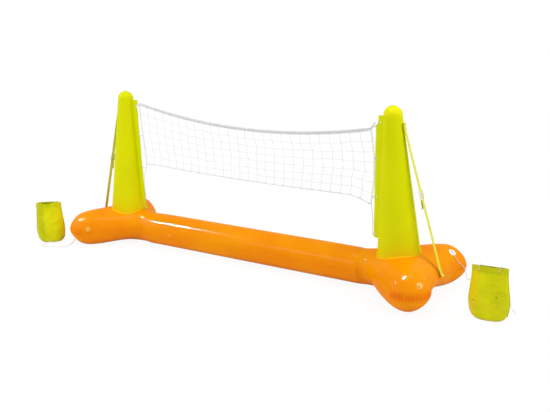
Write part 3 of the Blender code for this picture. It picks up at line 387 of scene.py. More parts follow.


# Post tints: a yellow for a painted sheen on the right post's dome and for an even yellow shift, and an
# orange for painted bounce light from the base near the posts' feet.
POST_SHEEN_AND_BOUNCE = ((0.84, 0.73, 0.0005), (0.88, 0.36, 0.001))
# Bag tints: olive for the doubled hem and for painted shade, orange-yellow for painted bounce light from the
# base, brown for a lower corner.
BAG_HEM_PAINTED_LIGHT_AND_BROWN = ((0.40, 0.43, 0.0005), (0.72, 0.53, 0.0005), (0.22, 0.13, 0.0005))
ORANGE = vinyl("orange_vinyl", (0.82, 0.285, 0.0008), (0.76, 0.095, 0.0008), reach=0.036)
LIME = vinyl("lime_vinyl", (0.62, 0.655, 0.0003), (0.50, 0.56, 0.0003), 0.17, 0.021, 0.016, tints=POST_SHEEN_AND_BOUNCE)
FIN_LIME = vinyl("fin_vinyl", (0.68, 0.72, 0.0005), (0.53, 0.60, 0.0005), roughness=0.26, seamed=False)
ORANGE_PLAIN = vinyl("orange_flange", (0.93, 0.28, 0.002), (0.82, 0.16, 0.002), roughness=0.24, seamed=False)
BAG_LIME = crumpled("bag_vinyl", (0.66, 0.63, 0.0003), (0.47, 0.50, 0.0003), BAG_HEM_PAINTED_LIGHT_AND_BROWN)
WEBBING = woven("lime_webbing", (0.74, 0.71, 0.002), (0.58, 0.61, 0.002))
TAPE_WHITE = woven("white_tape", (0.68, 0.68, 0.69), (0.60, 0.60, 0.61), rib=0.0022, across=0.0014)
CORD_WHITE = twisted("white_cord", (0.78, 0.78, 0.78), 0.0075)
CORD_LIME = twisted("lime_cord", (0.60, 0.62, 0.02), 0.0075)
NET_TWINE = twisted("net_twine", (0.76, 0.76, 0.76), 0.0048)
CLEAR = milky("clear_plastic", (0.93, 0.89, 0.88), clear=0.06)
VALVE_CLEAR = milky("valve_plastic", (0.98, 0.47, 0.04), clear=0.10)
POST_VALVE_CLEAR = milky("post_valve_plastic", (0.78, 0.78, 0.14), clear=0.12)
PATCH_WHITE = milky("patch_vinyl", (0.93, 0.91, 0.89), clear=0.05, roughness=0.3)


# Numbers and places.
def clip01(value):
    return min(max(value, 0.0), 1.0)


def wander(x, y, z):
    """Smooth noise at a place, -1 to 1."""
    return noise.noise(vec(x, y, z))


def turns(count):
    """Angles spaced evenly round a circle."""
    return [tau * k / count for k in range(count)]


def polar(radius, angle, height=0.0):
    return vec(radius * cos(angle), radius * sin(angle), height)


def sums(steps):
    """Running totals from 0."""
    return np.concatenate([[0.0], np.cumsum(steps)])


def normed(ways):
    return ways / np.linalg.norm(ways, axis=1)[:, None]


def steps_of(path):
    return [(b - a).length for a, b in zip(path, path[1:])]


def smooth_path(points, count):
    """Points spaced evenly along a Catmull-Rom curve through the given ones."""
    points = [Vector(p) for p in points]
    ends = [2 * points[0] - points[1], *points, 2 * points[-1] - points[-2]]
    fine = [points[0]]
    for a, b, c, d in zip(ends, ends[1:], ends[2:], ends[3:]):
        for step in range(1, 17):
            t = step / 16
            bend = (2 * a - 5 * b + 4 * c - d) * t**2 + (3 * b - a - 3 * c + d) * t**3
            fine.append(0.5 * (2 * b + (c - a) * t + bend))
    runs = sums(steps_of(fine))
    at = np.linspace(0, runs[-1], count)
    spots = np.array(fine)
    return [Vector(p) for p in np.stack([np.interp(at, runs, spots[:, k]) for k in range(3)], 1)]


# Meshes.
def worn(obj, body, solid=None):
    """Rides the object on a body, and hides the solid that it takes the place of."""
    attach(obj, body)
    if solid:
        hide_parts(solid)
    return obj


def mesh_of(name, bm):
    mesh = bpy.data.meshes.new(name)
    bm.to_mesh(mesh)
    bm.free()
    return mesh


def piece(name, verts, faces, look, uvs=None):
    mesh = bpy.data.meshes.new(name)
    mesh.from_pydata([tuple(v) for v in verts], [], faces)
    if uvs is not None:
        layer = mesh.uv_layers.new(name="UVMap")
        layer.data.foreach_set("uv", np.array(uvs, np.float32).ravel())
    mesh.materials.append(look)
    mesh.shade_smooth()
    return linked(name, mesh)


def outward(obj):
    """Turns the faces of a closed mesh outwards."""
    bm = bmesh.new()
    bm.from_mesh(obj.data)
    bmesh.ops.recalc_face_normals(bm, faces=bm.faces)
    bm.to_mesh(obj.data)
    bm.free()
    return obj


def set_field(obj, name, values):
    """Three numbers at each place of the mesh, for its material."""
    made = obj.data.attributes.new(name, "FLOAT_VECTOR", "POINT")
    made.data.foreach_set("vector", np.array(values, np.float32).ravel())


def modified(obj, kind, **settings):
    made = obj.modifiers.new(kind.lower(), kind)
    for key, value in settings.items():
        setattr(made, key, value)
    return made


def evaluated(obj):
    bpy.context.view_layer.update()
    return obj.evaluated_get(bpy.context.evaluated_depsgraph_get())


def settled(obj):
    """The object with its modifiers made part of its mesh."""
    mesh = bpy.data.meshes.new_from_object(evaluated(obj))
    obj.modifiers.clear()
    obj.data = mesh
    return obj


def surface_of(obj):
    bpy.context.view_layer.update()
    return BVHTree.FromObject(obj, bpy.context.evaluated_depsgraph_get())


def grid_faces(rows, columns, around=True, start=0, closed=False):
    """Quads between rows of equal length; around closes each row, closed joins the last row to the first."""
    faces = []
    for r in range(rows if closed else rows - 1):
        a, b = start + r * columns, start + (r + 1) % rows * columns
        for c in range(columns if around else columns - 1):
            n = (c + 1) % columns
            faces.append((a + c, a + n, b + n, b + c))
    return faces


def caps(rows, columns, start=0):
    """The faces that close a strip's two ends."""
    last = start + (rows - 1) * columns
    return [tuple(start + c for c in reversed(range(columns))), tuple(last + c for c in range(columns))]


def mirrored(half):
    """A section whose places before its middle one come again with their second number turned round."""
    return [*half, *((x, -y) for x, y in reversed(half[:-1]))]


def strip_uvs(runs, across, capped=True):
    """The UVs of a strip's quads, and of its caps: the run along it and the place across it."""
    uvs = []
    for a, b in zip(runs, runs[1:]):
        for low, high in zip(across, across[1:]):
            uvs += [(a, low), (a, high), (b, high), (b, low)]
    return uvs + [(0.0, 0.0)] * (2 * (len(across) - 1) * capped)


def rope(name, paths, radius, look, closed=False, sides=8):
    """Round cords along several paths, as one mesh, with the run and the turn as UV."""
    verts, faces, uvs = [], [], []
    for path in paths:
        points = np.array([tuple(p) for p in path], float)
        count = len(points)
        ahead = np.roll(points, -1, 0) - np.roll(points, 1, 0) if closed else np.gradient(points, axis=0)
        ahead = normed(ahead)
        side = np.cross(ahead[0], (0.0, 0.0, 1.0) if abs(ahead[0][2]) < 0.9 else (1.0, 0.0, 0.0))
        runs = sums(np.linalg.norm(np.diff(points, axis=0, append=points[:1]), axis=1))
        base = len(verts)
        for place, way in zip(points, ahead):
            side = side - way * side.dot(way)
            side /= np.linalg.norm(side)
            other = np.cross(way, side)
            verts += [place + radius * (side * cos(t) + other * sin(t)) for t in turns(sides)]
        faces += grid_faces(count, sides, True, base, closed)
        if not closed:
            faces += caps(count, sides, base)
            runs = runs[:count]
        uvs += strip_uvs(runs, [j / sides for j in range(sides + 1)], not closed)
    return piece(name, verts, faces, look, uvs)


def band(name, points, width):
    """A strip of webbing with rounded edges along points, its width along Y."""
    section = [(-0.5, 0.25), (-0.47, 0.5), (0.0, 0.5), (0.47, 0.5), (0.5, 0.25)]
    section += [(x, -y) for x, y in reversed(section)]
    points = np.array([tuple(p) for p in points], float)
    lean = np.array((0.0, 1.0, 0.0))
    verts = []
    for place, way in zip(points, normed(np.gradient(points, axis=0))):
        out = np.cross(way, lean)
        out /= np.linalg.norm(out)
        verts += [place + lean * x * width + out * y * STRAP_THICKNESS for x, y in section]
    faces = grid_faces(len(points), len(section)) + caps(len(points), len(section))
    runs = sums(np.linalg.norm(np.diff(points, axis=0), axis=1))
    uvs = strip_uvs(runs, [x * width for x, _ in (*section, section[0])])
    return outward(piece(name, verts, faces, WEBBING, uvs))


def knot(name, place, radius, size, body, turn=0.0):
    """An overhand knot: a trefoil of the cord's own thickness, pulled tight."""
    spin = Matrix.Rotation(turn, 3, "Z") @ Matrix.Rotation(0.9, 3, "X")
    points = []
    for t in turns(48):
        spot = vec(sin(t) + 1.7 * sin(2 * t), cos(t) - 1.7 * cos(2 * t), -1.3 * sin(3 * t))
        points.append(spin @ (spot * size / 2.7) + Vector(place))
    return worn(rope(name, [points], radius, CORD_WHITE, closed=True), body)


# Base.
RING_ANGLES = [radians(90 - 45 * k) for k in range(8)]


def ring(outer, crest, inner, height, flat, angles=RING_ANGLES):
    points = []
    for angle in angles:
        side = outer if cos(angle) > -1e-9 else inner
        plan = crest.lerp(side, abs(cos(angle)))
        points.append(vec(plan.x, plan.y, height - flat + height * sin(angle)))
    return points


def base_rings():
    """Half rings along the tube, then whole rings out along one limb, and the tip of its lobe."""
    tube_rings = []
    for x in (0.0, WIDEN_X - 0.15, WIDEN_X - 0.05):
        seam = Vector((x, TUBE_RADIUS))
        tube_rings.append(ring(seam, Vector((x, 0)), seam, TUBE_RADIUS, TUBE_FLAT, RING_ANGLES[:5]))
    along = Vector((cos(LIMB_ANGLE), sin(LIMB_ANGLE)))
    across = Vector((-along.y, along.x))
    lobe = Vector((LOBE_X, LOBE_Y))
    start = (Vector((WIDEN_X, TUBE_RADIUS + 0.003)), Vector((POST_FOOT_X, 0)), Vector((NOTCH_X, 0)))
    end = (lobe + across * LOBE_RADIUS, lobe, lobe - across * LOBE_RADIUS)
    limb_rings = []
    for share in (0.0, 0.5, 1.0):
        outer, crest, inner = (a.lerp(b, share) for a, b in zip(start, end))
        outer -= across * WAIST_BOW * sin(pi * share)
        inner.x -= NOTCH_BOW * sin(pi * share)
        height = JUNCTION_HEIGHT + (LOBE_HEIGHT - JUNCTION_HEIGHT) * share**2
        flat = TUBE_FLAT + (LOBE_FLAT - TUBE_FLAT) * share
        limb_rings.append(ring(outer, crest, inner, height, flat))
    slim = sqrt(1 - LOBE_TIP_REACH**2)
    width, height = LOBE_RADIUS * slim, LOBE_HEIGHT * LOBE_TAPER * slim
    middle = lobe + along * LOBE_RADIUS * LOBE_TIP_REACH
    lift = vec(0, 0, LOBE_HEIGHT - LOBE_FLAT - height)
    last = ring(middle + across * width, middle, middle - across * width, height, 0.0)
    limb_rings.append([p + lift for p in last])
    tip = lobe + along * LOBE_RADIUS
    return tube_rings, limb_rings, vec(tip.x, tip.y, LOBE_HEIGHT - LOBE_FLAT)


def base_cage():
    """A quarter of the base, with the weld between its two sheets marked as a seam."""
    tube_rings, limb_rings, tip = base_rings()
    bm = bmesh.new()
    rows = [[bm.verts.new(p) for p in points] for points in tube_rings]
    limbs = [[bm.verts.new(p) for p in points] for points in limb_rings]
    rows.append(limbs[0][:5])
    for a, b in zip(rows, rows[1:]):
        for k in range(4):
            bm.faces.new((a[k], a[k + 1], b[k + 1], b[k]))
    for a, b in zip(limbs, limbs[1:]):
        for k in range(8):
            n = (k + 1) % 8
            bm.faces.new((a[k], a[n], b[n], b[k]))
    top = bm.verts.new(tip)
    last = limbs[-1]
    for k in range(0, 8, 2):
        bm.faces.new((last[k], last[k + 1], last[(k + 2) % 8], top))
    weld = [(a[2], b[2]) for a, b in zip(rows, rows[1:])]
    weld += [(a[k], b[k]) for a, b in zip(limbs, limbs[1:]) for k in (2, 6)]
    for pair in (*weld, (last[2], top), (last[6], top)):
        bm.edges.get(pair).seam = True
    bmesh.ops.recalc_face_normals(bm, faces=bm.faces)
    return mesh_of("float_skin", bm)


def weld_loop(mesh):
    """The places along the marked weld, in order."""
    beside = {}
    for edge in mesh.edges:
        if edge.use_seam:
            a, b = edge.vertices
            beside.setdefault(a, []).append(b)
            beside.setdefault(b, []).append(a)
    start = min(beside)
    order = [start]
    previous, current = None, start
    while True:
        onward = [v for v in beside[current] if v != previous]
        previous, current = current, onward[0]
        if current == start:
            break
        order.append(current)
    return np.array([mesh.vertices[v].co for v in order], float)


def handed(loop):
    """1 for a loop that runs anticlockwise in plan, otherwise -1."""
    x, y = loop[:, 0], loop[:, 1]
    return 1 if (x * np.roll(y, -1) - y * np.roll(x, -1)).sum() > 0 else -1


def plan_bend(loop, reach=6):
    """How sharply the loop turns in plan at each place, positive where it bulges outwards."""
    before, after = np.roll(loop, reach, 0), np.roll(loop, -reach, 0)
    a, b = (loop - before)[:, :2], (after - loop)[:, :2]
    turn = np.arctan2(a[:, 0] * b[:, 1] - a[:, 1] * b[:, 0], (a * b).sum(1))
    span = 0.5 * (np.linalg.norm(a, axis=1) + np.linalg.norm(b, axis=1))
    return turn / span * handed(loop)


def against_weld(places, loop, bend):
    """Run, distance and outward bend of the nearest place on the weld, for each place."""
    count = len(loop)
    tree = KDTree(count)
    for k, p in enumerate(loop):
        tree.insert(p, k)
    tree.balance()
    steps = np.linalg.norm(np.roll(loop, -1, 0) - loop, axis=1)
    runs = sums(steps)
    found = np.zeros((len(places), 3))
    for row, place in enumerate(places):
        k = tree.find(place)[1]
        best = None
        for a in ((k - 1) % count, k):
            n = (a + 1) % count
            start, way = loop[a], loop[n] - loop[a]
            share = clip01((place - start).dot(way) / way.dot(way))
            gap = np.linalg.norm(place - start - way * share)
            if best is None or gap < best[1]:
                best = (runs[a] + steps[a] * share, gap, bend[a] + (bend[n] - bend[a]) * share)
        found[row] = best
    return found


def places_of(mesh):
    return np.array([v.co for v in mesh.vertices], float)


def put(mesh, places):
    mesh.vertices.foreach_set("co", places.ravel())
    mesh.update()


def soften(mesh, rounds):
    """Ease the skin where the tube starts to widen, so that no crease runs round it."""
    places = places_of(mesh)
    a, b = np.array([e.vertices[:] for e in mesh.edges]).T
    count = len(places)
    beside = np.bincount(a, minlength=count) + np.bincount(b, minlength=count)
    share = 0.8 * np.clip(1 - np.abs(np.abs(places[:, 0]) - WIDEN_X) / 0.075, 0, 1)
    for _ in range(rounds):
        for axis in range(3):
            line = places[:, axis]
            total = np.bincount(a, line[b], count) + np.bincount(b, line[a], count)
            places[:, axis] += share * (total / beside - line)
    put(mesh, places)


def gathered(mesh, loop, bend):
    """Creases run in from the hollows of the outline, and the weld gathers the skin round the lobes."""
    places = places_of(mesh)
    normals = np.array([v.normal for v in mesh.vertices], float)
    run, off, bulge = against_weld(places, loop, bend).T
    hollow = np.clip(-bulge / HOLLOW_BEND, 0, 1) ** 1.5
    fold = -0.0002 * hollow * np.exp(-off / 0.030)
    near, right = places[:, 1] < 0, places[:, 0] > 0
    fork = np.clip((np.abs(places[:, 0]) - FORK_X) / 0.04, 0, 1)
    lobe = np.clip(bulge / LOBE_BEND - 1, 0, 1) * fork
    ease = np.array([noise.noise(Vector(p) * 14) for p in places])
    gather = lobe * np.where(near, 1.0, 0.5) * np.exp(-((off / 0.024) ** 2)) * np.clip(0.65 + ease, 0, 1)
    gather *= np.abs(np.sin(run * pi / WELD_PITCH + ease * 2)) - 0.6
    front = np.where(near, 1.0, 0.45) * np.where(right, 1.0, 0.35)
    weight = np.clip((bulge - 3.0) / 5.0, 0, 1) * front * fork + 0.03
    places += normals * (fold + gather * 0.0016)[:, None]
    places[:, 2] = np.maximum(places[:, 2], 0.0)
    put(mesh, places)
    return np.stack([run, off, weight], 1)


def add_base():
    mesh = base_cage()
    mesh.materials.append(ORANGE)
    obj = linked("float_skin", mesh)
    modified(obj, "MIRROR", use_axis=(True, True, False), merge_threshold=0.00001)
    finer = modified(obj, "SUBSURF", levels=2)
    targets = [v.co.copy() for v in mesh.vertices]
    for _ in range(8):
        surface = evaluated(obj).data
        misses = [t - surface.vertices[k].co for k, t in enumerate(targets)]
        for vertex, miss in zip(mesh.vertices, misses):
            vertex.co += miss
    finer.levels = 5
    mesh = settled(obj).data
    soften(mesh, 360)
    loop = weld_loop(mesh)
    bend = plan_bend(loop)
    set_field(obj, "seam", gathered(mesh, loop, bend))
    mesh.shade_smooth()
    worn(obj, "float", "base_float")
    add_weld_strip(loop, bend)
    return surface_of(obj)


def add_weld_strip(loop, bend):
    """The thin flat edge where the two sheets are welded together."""
    before = np.roll(loop, 1, 0)
    way = np.roll(loop, -1, 0) - before
    out = normed(np.stack([way[:, 1], -way[:, 0], np.zeros(len(loop))], 1)) * handed(loop)
    runs = np.cumsum(np.linalg.norm(loop - before, axis=1))
    wave = np.sin(runs * tau / 0.017) * np.clip(np.abs(bend) / 8.0, 0, 1) * 0.0006
    section = mirrored([(-0.003, 0.0006), (0.0009, 0.0004), (0.0014, 0.0)])
    verts = []
    for place, side, lift in zip(loop, out, wave):
        verts += [place + side * x + np.array((0, 0, z + lift * (x > 0))) for x, z in section]
    faces = grid_faces(len(loop), len(section), closed=True)
    worn(outward(piece("float_weld", verts, faces, ORANGE_PLAIN)), "float")


# Posts.
def post_length():
    return hypot(POST_TOP_Z - POST_DOME_RADIUS - POST_FOOT_Z, POST_FOOT_X - POST_TOP_X)


def post_axis(side):
    lean = atan2(POST_FOOT_X - POST_TOP_X, POST_TOP_Z - POST_DOME_RADIUS - POST_FOOT_Z)
    return Matrix.Translation((side * POST_FOOT_X, 0, POST_FOOT_Z)) @ Matrix.Rotation(-side * lean, 4, "Y")


def post_section(along):
    """Radius and height on the post for a run from its foot over the dome, the run in metres."""
    length = post_length()
    slope = atan2(POST_FOOT_RADIUS - POST_DOME_RADIUS, length)
    if along <= length:
        return POST_FOOT_RADIUS + (POST_DOME_RADIUS - POST_FOOT_RADIUS) * along / length, along
    angle = min((along - length) / POST_DOME_RADIUS, pi / 2)
    bow = sin(2 * angle) * slope * 0.5
    return POST_DOME_RADIUS * cos(angle) * (1 + bow), length + POST_DOME_RADIUS * sin(angle)


def joint_at(base, frame_at, angle):
    """Where the post's side meets the base at an angle round it: way down, place, normal and fall."""
    spots = []
    for run in (POST_SEEK_RUN, 0.0):
        radius, height = post_section(run)
        spots.append(frame_at @ polar(radius, angle, height))
    way = (spots[1] - spots[0]).normalized()
    place, normal, _, fall = base.ray_cast(spots[0], way, SEEK)
    return way, place, normal, fall


def add_post(side, base):
    word = WORDS[side]
    frame_at = post_axis(side)
    length = post_length()
    dome = length + np.linspace(0, pi / 2, 20)[1:-1] * POST_DOME_RADIUS
    runs = np.concatenate([np.linspace(-0.035, length, 96), dome])
    around = 112
    joints = [POST_SEEK_RUN - joint_at(base, frame_at, angle)[3] for angle in turns(around)]
    verts, seam, tone = [], [], []
    for run in runs:
        radius, height = post_section(run)
        for joint, angle in zip(joints, turns(around)):
            off = min(angle, abs(angle - pi), tau - angle) * radius
            ridge = exp(-off / 0.006) * 0.0007
            wave = exp(-off / 0.016) * sin(run * tau / 0.042) * 0.0004
            ease = wander(cos(angle) * 1.6, sin(angle) * 1.6 + side * 5, run * 5) * 0.0009
            verts.append(frame_at @ polar(radius * 0.9965 + ridge + wave + ease, angle, height))
            seam.append((run, off, 0.55))
            # Tone shares: painted orange bounce light from the base, strongest at the post's foot; yellow is
            # a painted sheen on the right post's dome over an even yellow shift, larger on the left post.
            rise = max(run - joint, 0.0)
            painted_bounce = 0.16 * exp(-rise / 0.012) + 0.38 * exp(-rise / 0.055)
            yellow = 0.05 + 0.50 * clip01((run - length + 0.003) / 0.006) if side > 0 else 0.16
            tone.append((yellow, painted_bounce, 0.0))
    top = len(verts)
    verts.append(frame_at @ vec(0, 0, length + POST_DOME_RADIUS))
    seam.append((runs[-1], 0.02, 0.0))
    tone.append((tone[-1][0], 0.0, 0.0))
    last = top - around
    faces = grid_faces(len(runs), around) + [(last + k, last + (k + 1) % around, top) for k in range(around)]
    obj = piece(f"post_skin_{word}", verts, faces, LIME)
    set_field(obj, "seam", seam)
    set_field(obj, "tone", tone)
    worn(obj, "float", f"post_{word}")
    add_foot_weld(side, base)
    add_outer_weld(side)


def add_foot_weld(side, base):
    """The flange that joins the post to the base: up the post a little and out along the base's skin."""
    frame_at = post_axis(side)
    rows = []
    for angle in turns(120):
        way, joint, normal, _ = joint_at(base, frame_at, angle)
        out = frame_at.to_3x3() @ polar(1, angle)
        level = (out - normal * out.dot(normal)).normalized()
        broad = sin(angle) ** 2
        ruffle = 0.0004 * sin(angle * 34) + 0.0003 * sin(angle * 21 + 1)
        middle, middle_way = base.find_nearest(joint + level * (0.0020 + 0.0035 * broad))[:2]
        edge, edge_way = base.find_nearest(joint + level * (0.0020 + 0.0110 * broad + ruffle))[:2]
        rows.append([
            joint - way * 0.0040 - out * 0.0006,
            joint - way * 0.0036 + out * 0.0006,
            joint - way * 0.0012 + out * 0.0011,
            joint + level * 0.0010 + normal * 0.0010,
            middle + middle_way * 0.0008,
            edge + edge_way * 0.0006,
            edge + level * 0.0003 - edge_way * 0.0006,
            joint - normal * 0.003,
        ])
    size = len(rows[0])
    verts = [p for row in rows for p in row]
    obj = piece(f"post_foot_weld_{WORDS[side]}", verts, grid_faces(len(rows), size, closed=True), LIME)
    outward(obj)
    set_field(obj, "seam", [(0.0, 1.0, 0.0)] * len(verts))
    # Tone shares: an even yellow shift, and painted orange bounce light from the base that grows across the
    # flange towards the base.
    set_field(obj, "tone", [(0.2, 0.50 + 0.05 * (k % size), 0.0) for k in range(len(verts))])
    worn(obj, "float")


def add_outer_weld(side):
    """The welded edge down the post's outer side and over its dome, broken at the strap's patch."""
    frame_at = post_axis(side)
    length = post_length()
    stretches = [[], []]
    for run in np.linspace(0.045, length + radians(150) * POST_DOME_RADIUS, 150):
        if run <= length:
            radius, height = post_section(run)
            out = vec(side, 0, 0.08).normalized()
            place = vec(side * radius, 0, height)
        else:
            angle = (run - length) / POST_DOME_RADIUS
            out = vec(side * cos(angle), 0, sin(angle))
            place = out * POST_DOME_RADIUS + vec(0, 0, length)
        place = frame_at @ place
        below, beyond = place.z < PATCH_LOW_Z, abs(place.x) > PATCH_X
        if below or abs(place.x) < PATCH_X:
            stretches[0 if below and beyond else 1].append((place, frame_at.to_3x3() @ out))
    section = mirrored([(-0.002, 0.0007), (0.0022, 0.0006), (0.0030, 0.0)])
    verts, faces = [], []
    for stretch in stretches:
        faces += grid_faces(len(stretch), len(section), True, len(verts))
        for k, (place, out) in enumerate(stretch):
            wave = 0.0003 * sin(k * 0.9)
            verts += [place + out * x + vec(0, y + wave, 0) for x, y in section]
    worn(outward(piece(f"post_weld_{WORDS[side]}", verts, faces, FIN_LIME)), "float")


# Fins.
def fin_edge(z):
    share = (z - FIN_LOW_Z) / (FIN_CORNER_Z - FIN_LOW_Z)
    return FIN_LOW_X + (FIN_TOP_X - FIN_LOW_X) * share


def tie_hole(height):
    inset = FIN_NOTCH if height > FIN_CORNER_Z else 0.0
    return fin_edge(min(height, FIN_CORNER_Z)) + TIE_HOLE_INSET + inset, height


def post_edge(z):
    """X of the post's inner silhouette at a height, for the post on the right."""
    frame_at = post_axis(1)
    low = frame_at @ vec(-POST_FOOT_RADIUS, 0, 0)
    top = frame_at @ vec(-POST_DOME_RADIUS, 0, post_length())
    return low.x + (top.x - low.x) * (z - low.z) / (top.z - low.z)


def add_fin(side):
    """A flat flange with a weld line down it, and eyelets where the net is tied."""
    word = WORDS[side]
    notch = FIN_TOP_X + FIN_NOTCH - 0.003
    tab = FIN_TAB_X[side]
    edge = [
        (FIN_LOW_Z - 0.006, FIN_LOW_X + 0.012),
        (FIN_LOW_Z - 0.004, FIN_LOW_X + 0.004),
        (FIN_LOW_Z, FIN_LOW_X),
        (FIN_CORNER_Z - 0.002, FIN_TOP_X),
        (FIN_CORNER_Z, FIN_TOP_X + 0.0015),
        (FIN_CORNER_Z + 0.011, notch - 0.001),
        (FIN_CORNER_Z + 0.013, notch),
        (FIN_TAB_Z - 0.0012, tab - side * 0.001),
        (FIN_TAB_Z + 0.0012, tab),
        (FIN_TAB_TOP_Z - 0.0015, tab),
        (FIN_TAB_TOP_Z, tab + 0.0015),
    ]
    levels = [z for z, _ in edge]
    heights = sorted({round(z, 5) for z in (*levels, *np.linspace(levels[0], FIN_CORNER_Z, 60))})
    for z in np.linspace(FIN_CORNER_Z, FIN_TAB_TOP_Z, 14):
        if min(abs(z - h) for h in heights) > 0.0008:
            heights.append(z)
    heights.sort()
    columns, rows = 15, len(heights)
    verts = []
    for face in (-1, 1):
        for z in heights:
            free = np.interp(z, levels, [x for _, x in edge])
            hold = post_edge(z) + 0.004
            for share in (c / (columns - 1) for c in range(columns)):
                x = free + (hold - free) * share
                wave = (1 - share) ** 1.5 * (0.0011 * sin(z * 34) + 0.0006 * sin(z * 91 + 1))
                line = 0.00025 if abs(x - free - 0.0045) < 0.0016 or hold - x < 0.009 else 0.0
                verts.append((side * x, wave + (FIN_THICKNESS / 2 - line) * face, z))
    shift = rows * columns
    faces = grid_faces(rows, columns, False)
    faces += [tuple(reversed(f)) for f in grid_faces(rows, columns, False, shift)]
    rim = list(range(columns))
    rim += [r * columns + columns - 1 for r in range(1, rows)]
    rim += [(rows - 1) * columns + c for c in reversed(range(columns - 1))]
    rim += [r * columns for r in reversed(range(1, rows - 1))]
    faces += [(b, a, a + shift, b + shift) for a, b in zip(rim, [*rim[1:], rim[0]])]
    obj = outward(piece(f"fin_sheet_{word}", verts, faces, FIN_LIME))
    holes = [(side * tie_hole(z)[0], z) for z in TIE_HEIGHTS.values()]
    cut_holes(obj, [(vec(x, 0, z), TIE_HOLE_RADIUS) for x, z in holes])
    worn(obj, "float", f"net_fin_{word}")
    rings = []
    for x, z in holes:
        for y in (-FIN_THICKNESS / 2, FIN_THICKNESS / 2):
            rings.append([(x + EYELET_RADIUS * cos(t), y, z + EYELET_RADIUS * sin(t)) for t in turns(20)])
    worn(rope(f"fin_eyelets_{word}", rings, 0.0006, FIN_LIME, closed=True, sides=6), "float")


def cut_holes(obj, spots, spin=ALONG_Y):
    """Round holes of given places and radii through the object, along its Y or the turned one."""
    cutters = []
    for place, radius in spots:
        bm = bmesh.new()
        bmesh.ops.create_cone(bm, cap_ends=True, segments=20, radius1=radius, radius2=radius, depth=0.02)
        cutter = linked("cutter", mesh_of("cutter", bm))
        cutter.matrix_world = Matrix.Translation(place) @ spin
        cutters.append(cutter)
        modified(obj, "BOOLEAN", object=cutter, operation="DIFFERENCE", solver="EXACT")
    settled(obj)
    for cutter in cutters:
        bpy.data.objects.remove(cutter)


# Net.
def net_top(x):
    return NET_TOP_Z + NET_TOP_RISE * (x - NET_TOP_DIP_X) ** 2


def net_bottom(x):
    z = NET_BOTTOM_Z + NET_BOTTOM_RISE * max(NET_BOTTOM_DIP_X - x, 0.0) ** 2
    for side, droop in NET_DROOPS.items():
        z -= droop * max(0.0, 1 - abs(x - NET_X[side]) / NET_DROOP_REACH) ** 2
    return z


def net_side(side, share):
    return NET_X[side] + (0.017 * sin(pi * share) if side > 0 else -0.028 * share)


def net_point(across, up):
    left, right = net_side(-1, up), net_side(1, up)
    x = left + (right - left) * across
    return vec(x, 0, net_bottom(x) + (net_top(x) - net_bottom(x)) * up)


def net_knots():
    """The crossings of the net, a little out of line as slack twine hangs."""
    rows = []
    for r in range(NET_ROWS + 1):
        row = []
        inside = 0 < r < NET_ROWS
        for c in range(NET_COLUMNS + 1):
            share = c / NET_COLUMNS
            place = net_point(share, r / NET_ROWS)
            if inside and 0 < c < NET_COLUMNS:
                zigzag = 0.0026 * (1 if r % 2 else -1)
                bulge = 0.011 * share**2 * sin(pi * r / NET_ROWS) * (1 if r > 2 else 0.5)
                place.x += zigzag + bulge + 0.0085 * wander(c * 0.61, r * 1.37, 0.5)
                place.z += 0.0070 * wander(c * 0.61 + 9, r * 1.37, 0.5) - 0.0010
            place.y = 0.0035 * wander(c * 0.23, r * 0.4, 3.0) * (1 if inside else 0.2)
            row.append(place)
        rows.append(row)
    return rows


def sagging(knots, sags, steps):
    """A path through knots, each stretch with its own sag."""
    path = []
    for a, b, sag in zip(knots, knots[1:], sags):
        for share in (k / steps for k in range(steps)):
            path.append(a.lerp(b, share) - vec(0, 0, sag * 4 * share * (1 - share)))
    return [*path, knots[-1]]


def add_net():
    rows = net_knots()
    paths = []
    for r, row in enumerate(rows):
        sags = [0.0012 + 0.0012 * abs(wander(c * 0.9, r * 2.1, 7)) for c in range(NET_COLUMNS)]
        paths.append(sagging(row, sags, 4))
    paths += [sagging(column, [0.0] * NET_ROWS, 3) for column in zip(*rows)]
    worn(rope("net_twine", paths, NET_CORD * 0.40, NET_TWINE, sides=6), "float", "net_mesh")
    lumps = []
    for r, row in enumerate(rows):
        for c, place in enumerate(row):
            tilt = 0.6 * wander(c * 1.3, r * 0.7, 2)
            loop = [vec(cos(t + tilt) * 0.0013, sin(2 * t) * 0.0007, sin(t) * 0.0011) for t in turns(8)]
            lumps.append([place + p for p in loop])
    worn(rope("net_knots", lumps, 0.00058, NET_TWINE, closed=True, sides=5), "float")


def edge_line(up, lift):
    """Even places along the top or bottom edge of the net, moved square to it."""
    edge = smooth_path([net_point(c / NET_COLUMNS, up) for c in range(NET_COLUMNS + 1)], 160)
    line = []
    for before, place, after in zip([edge[0], *edge], edge, [*edge[1:], edge[-1]]):
        run = (after - before).normalized()
        line.append(place + vec(-run.z, 0, run.x) * lift)
    return line


def tape_line():
    """The tape's middle from fin to fin, and how full it is at each place, thin where it is tied."""
    line = edge_line(1, NET_CLEAR + TAPE_HEIGHT / 2)
    fullness = [min(0.70 + 0.30 * min(k, len(line) - 1 - k) / 4, 1.0) for k in range(len(line))]
    for side in WORDS:
        line.reverse()
        fullness.reverse()
        last = line[-1]
        tip = vec(side * (fin_edge(TIE_HEIGHTS["top"]) - 0.0005), -0.0042, TIE_HEIGHTS["top"])
        for k in range(1, 6):
            line.append(last.lerp(tip, k / 5) + vec(0, -0.0030 * sin(pi * k / 5), 0))
            fullness.append(0.64 - 0.06 * k)
    return line, fullness


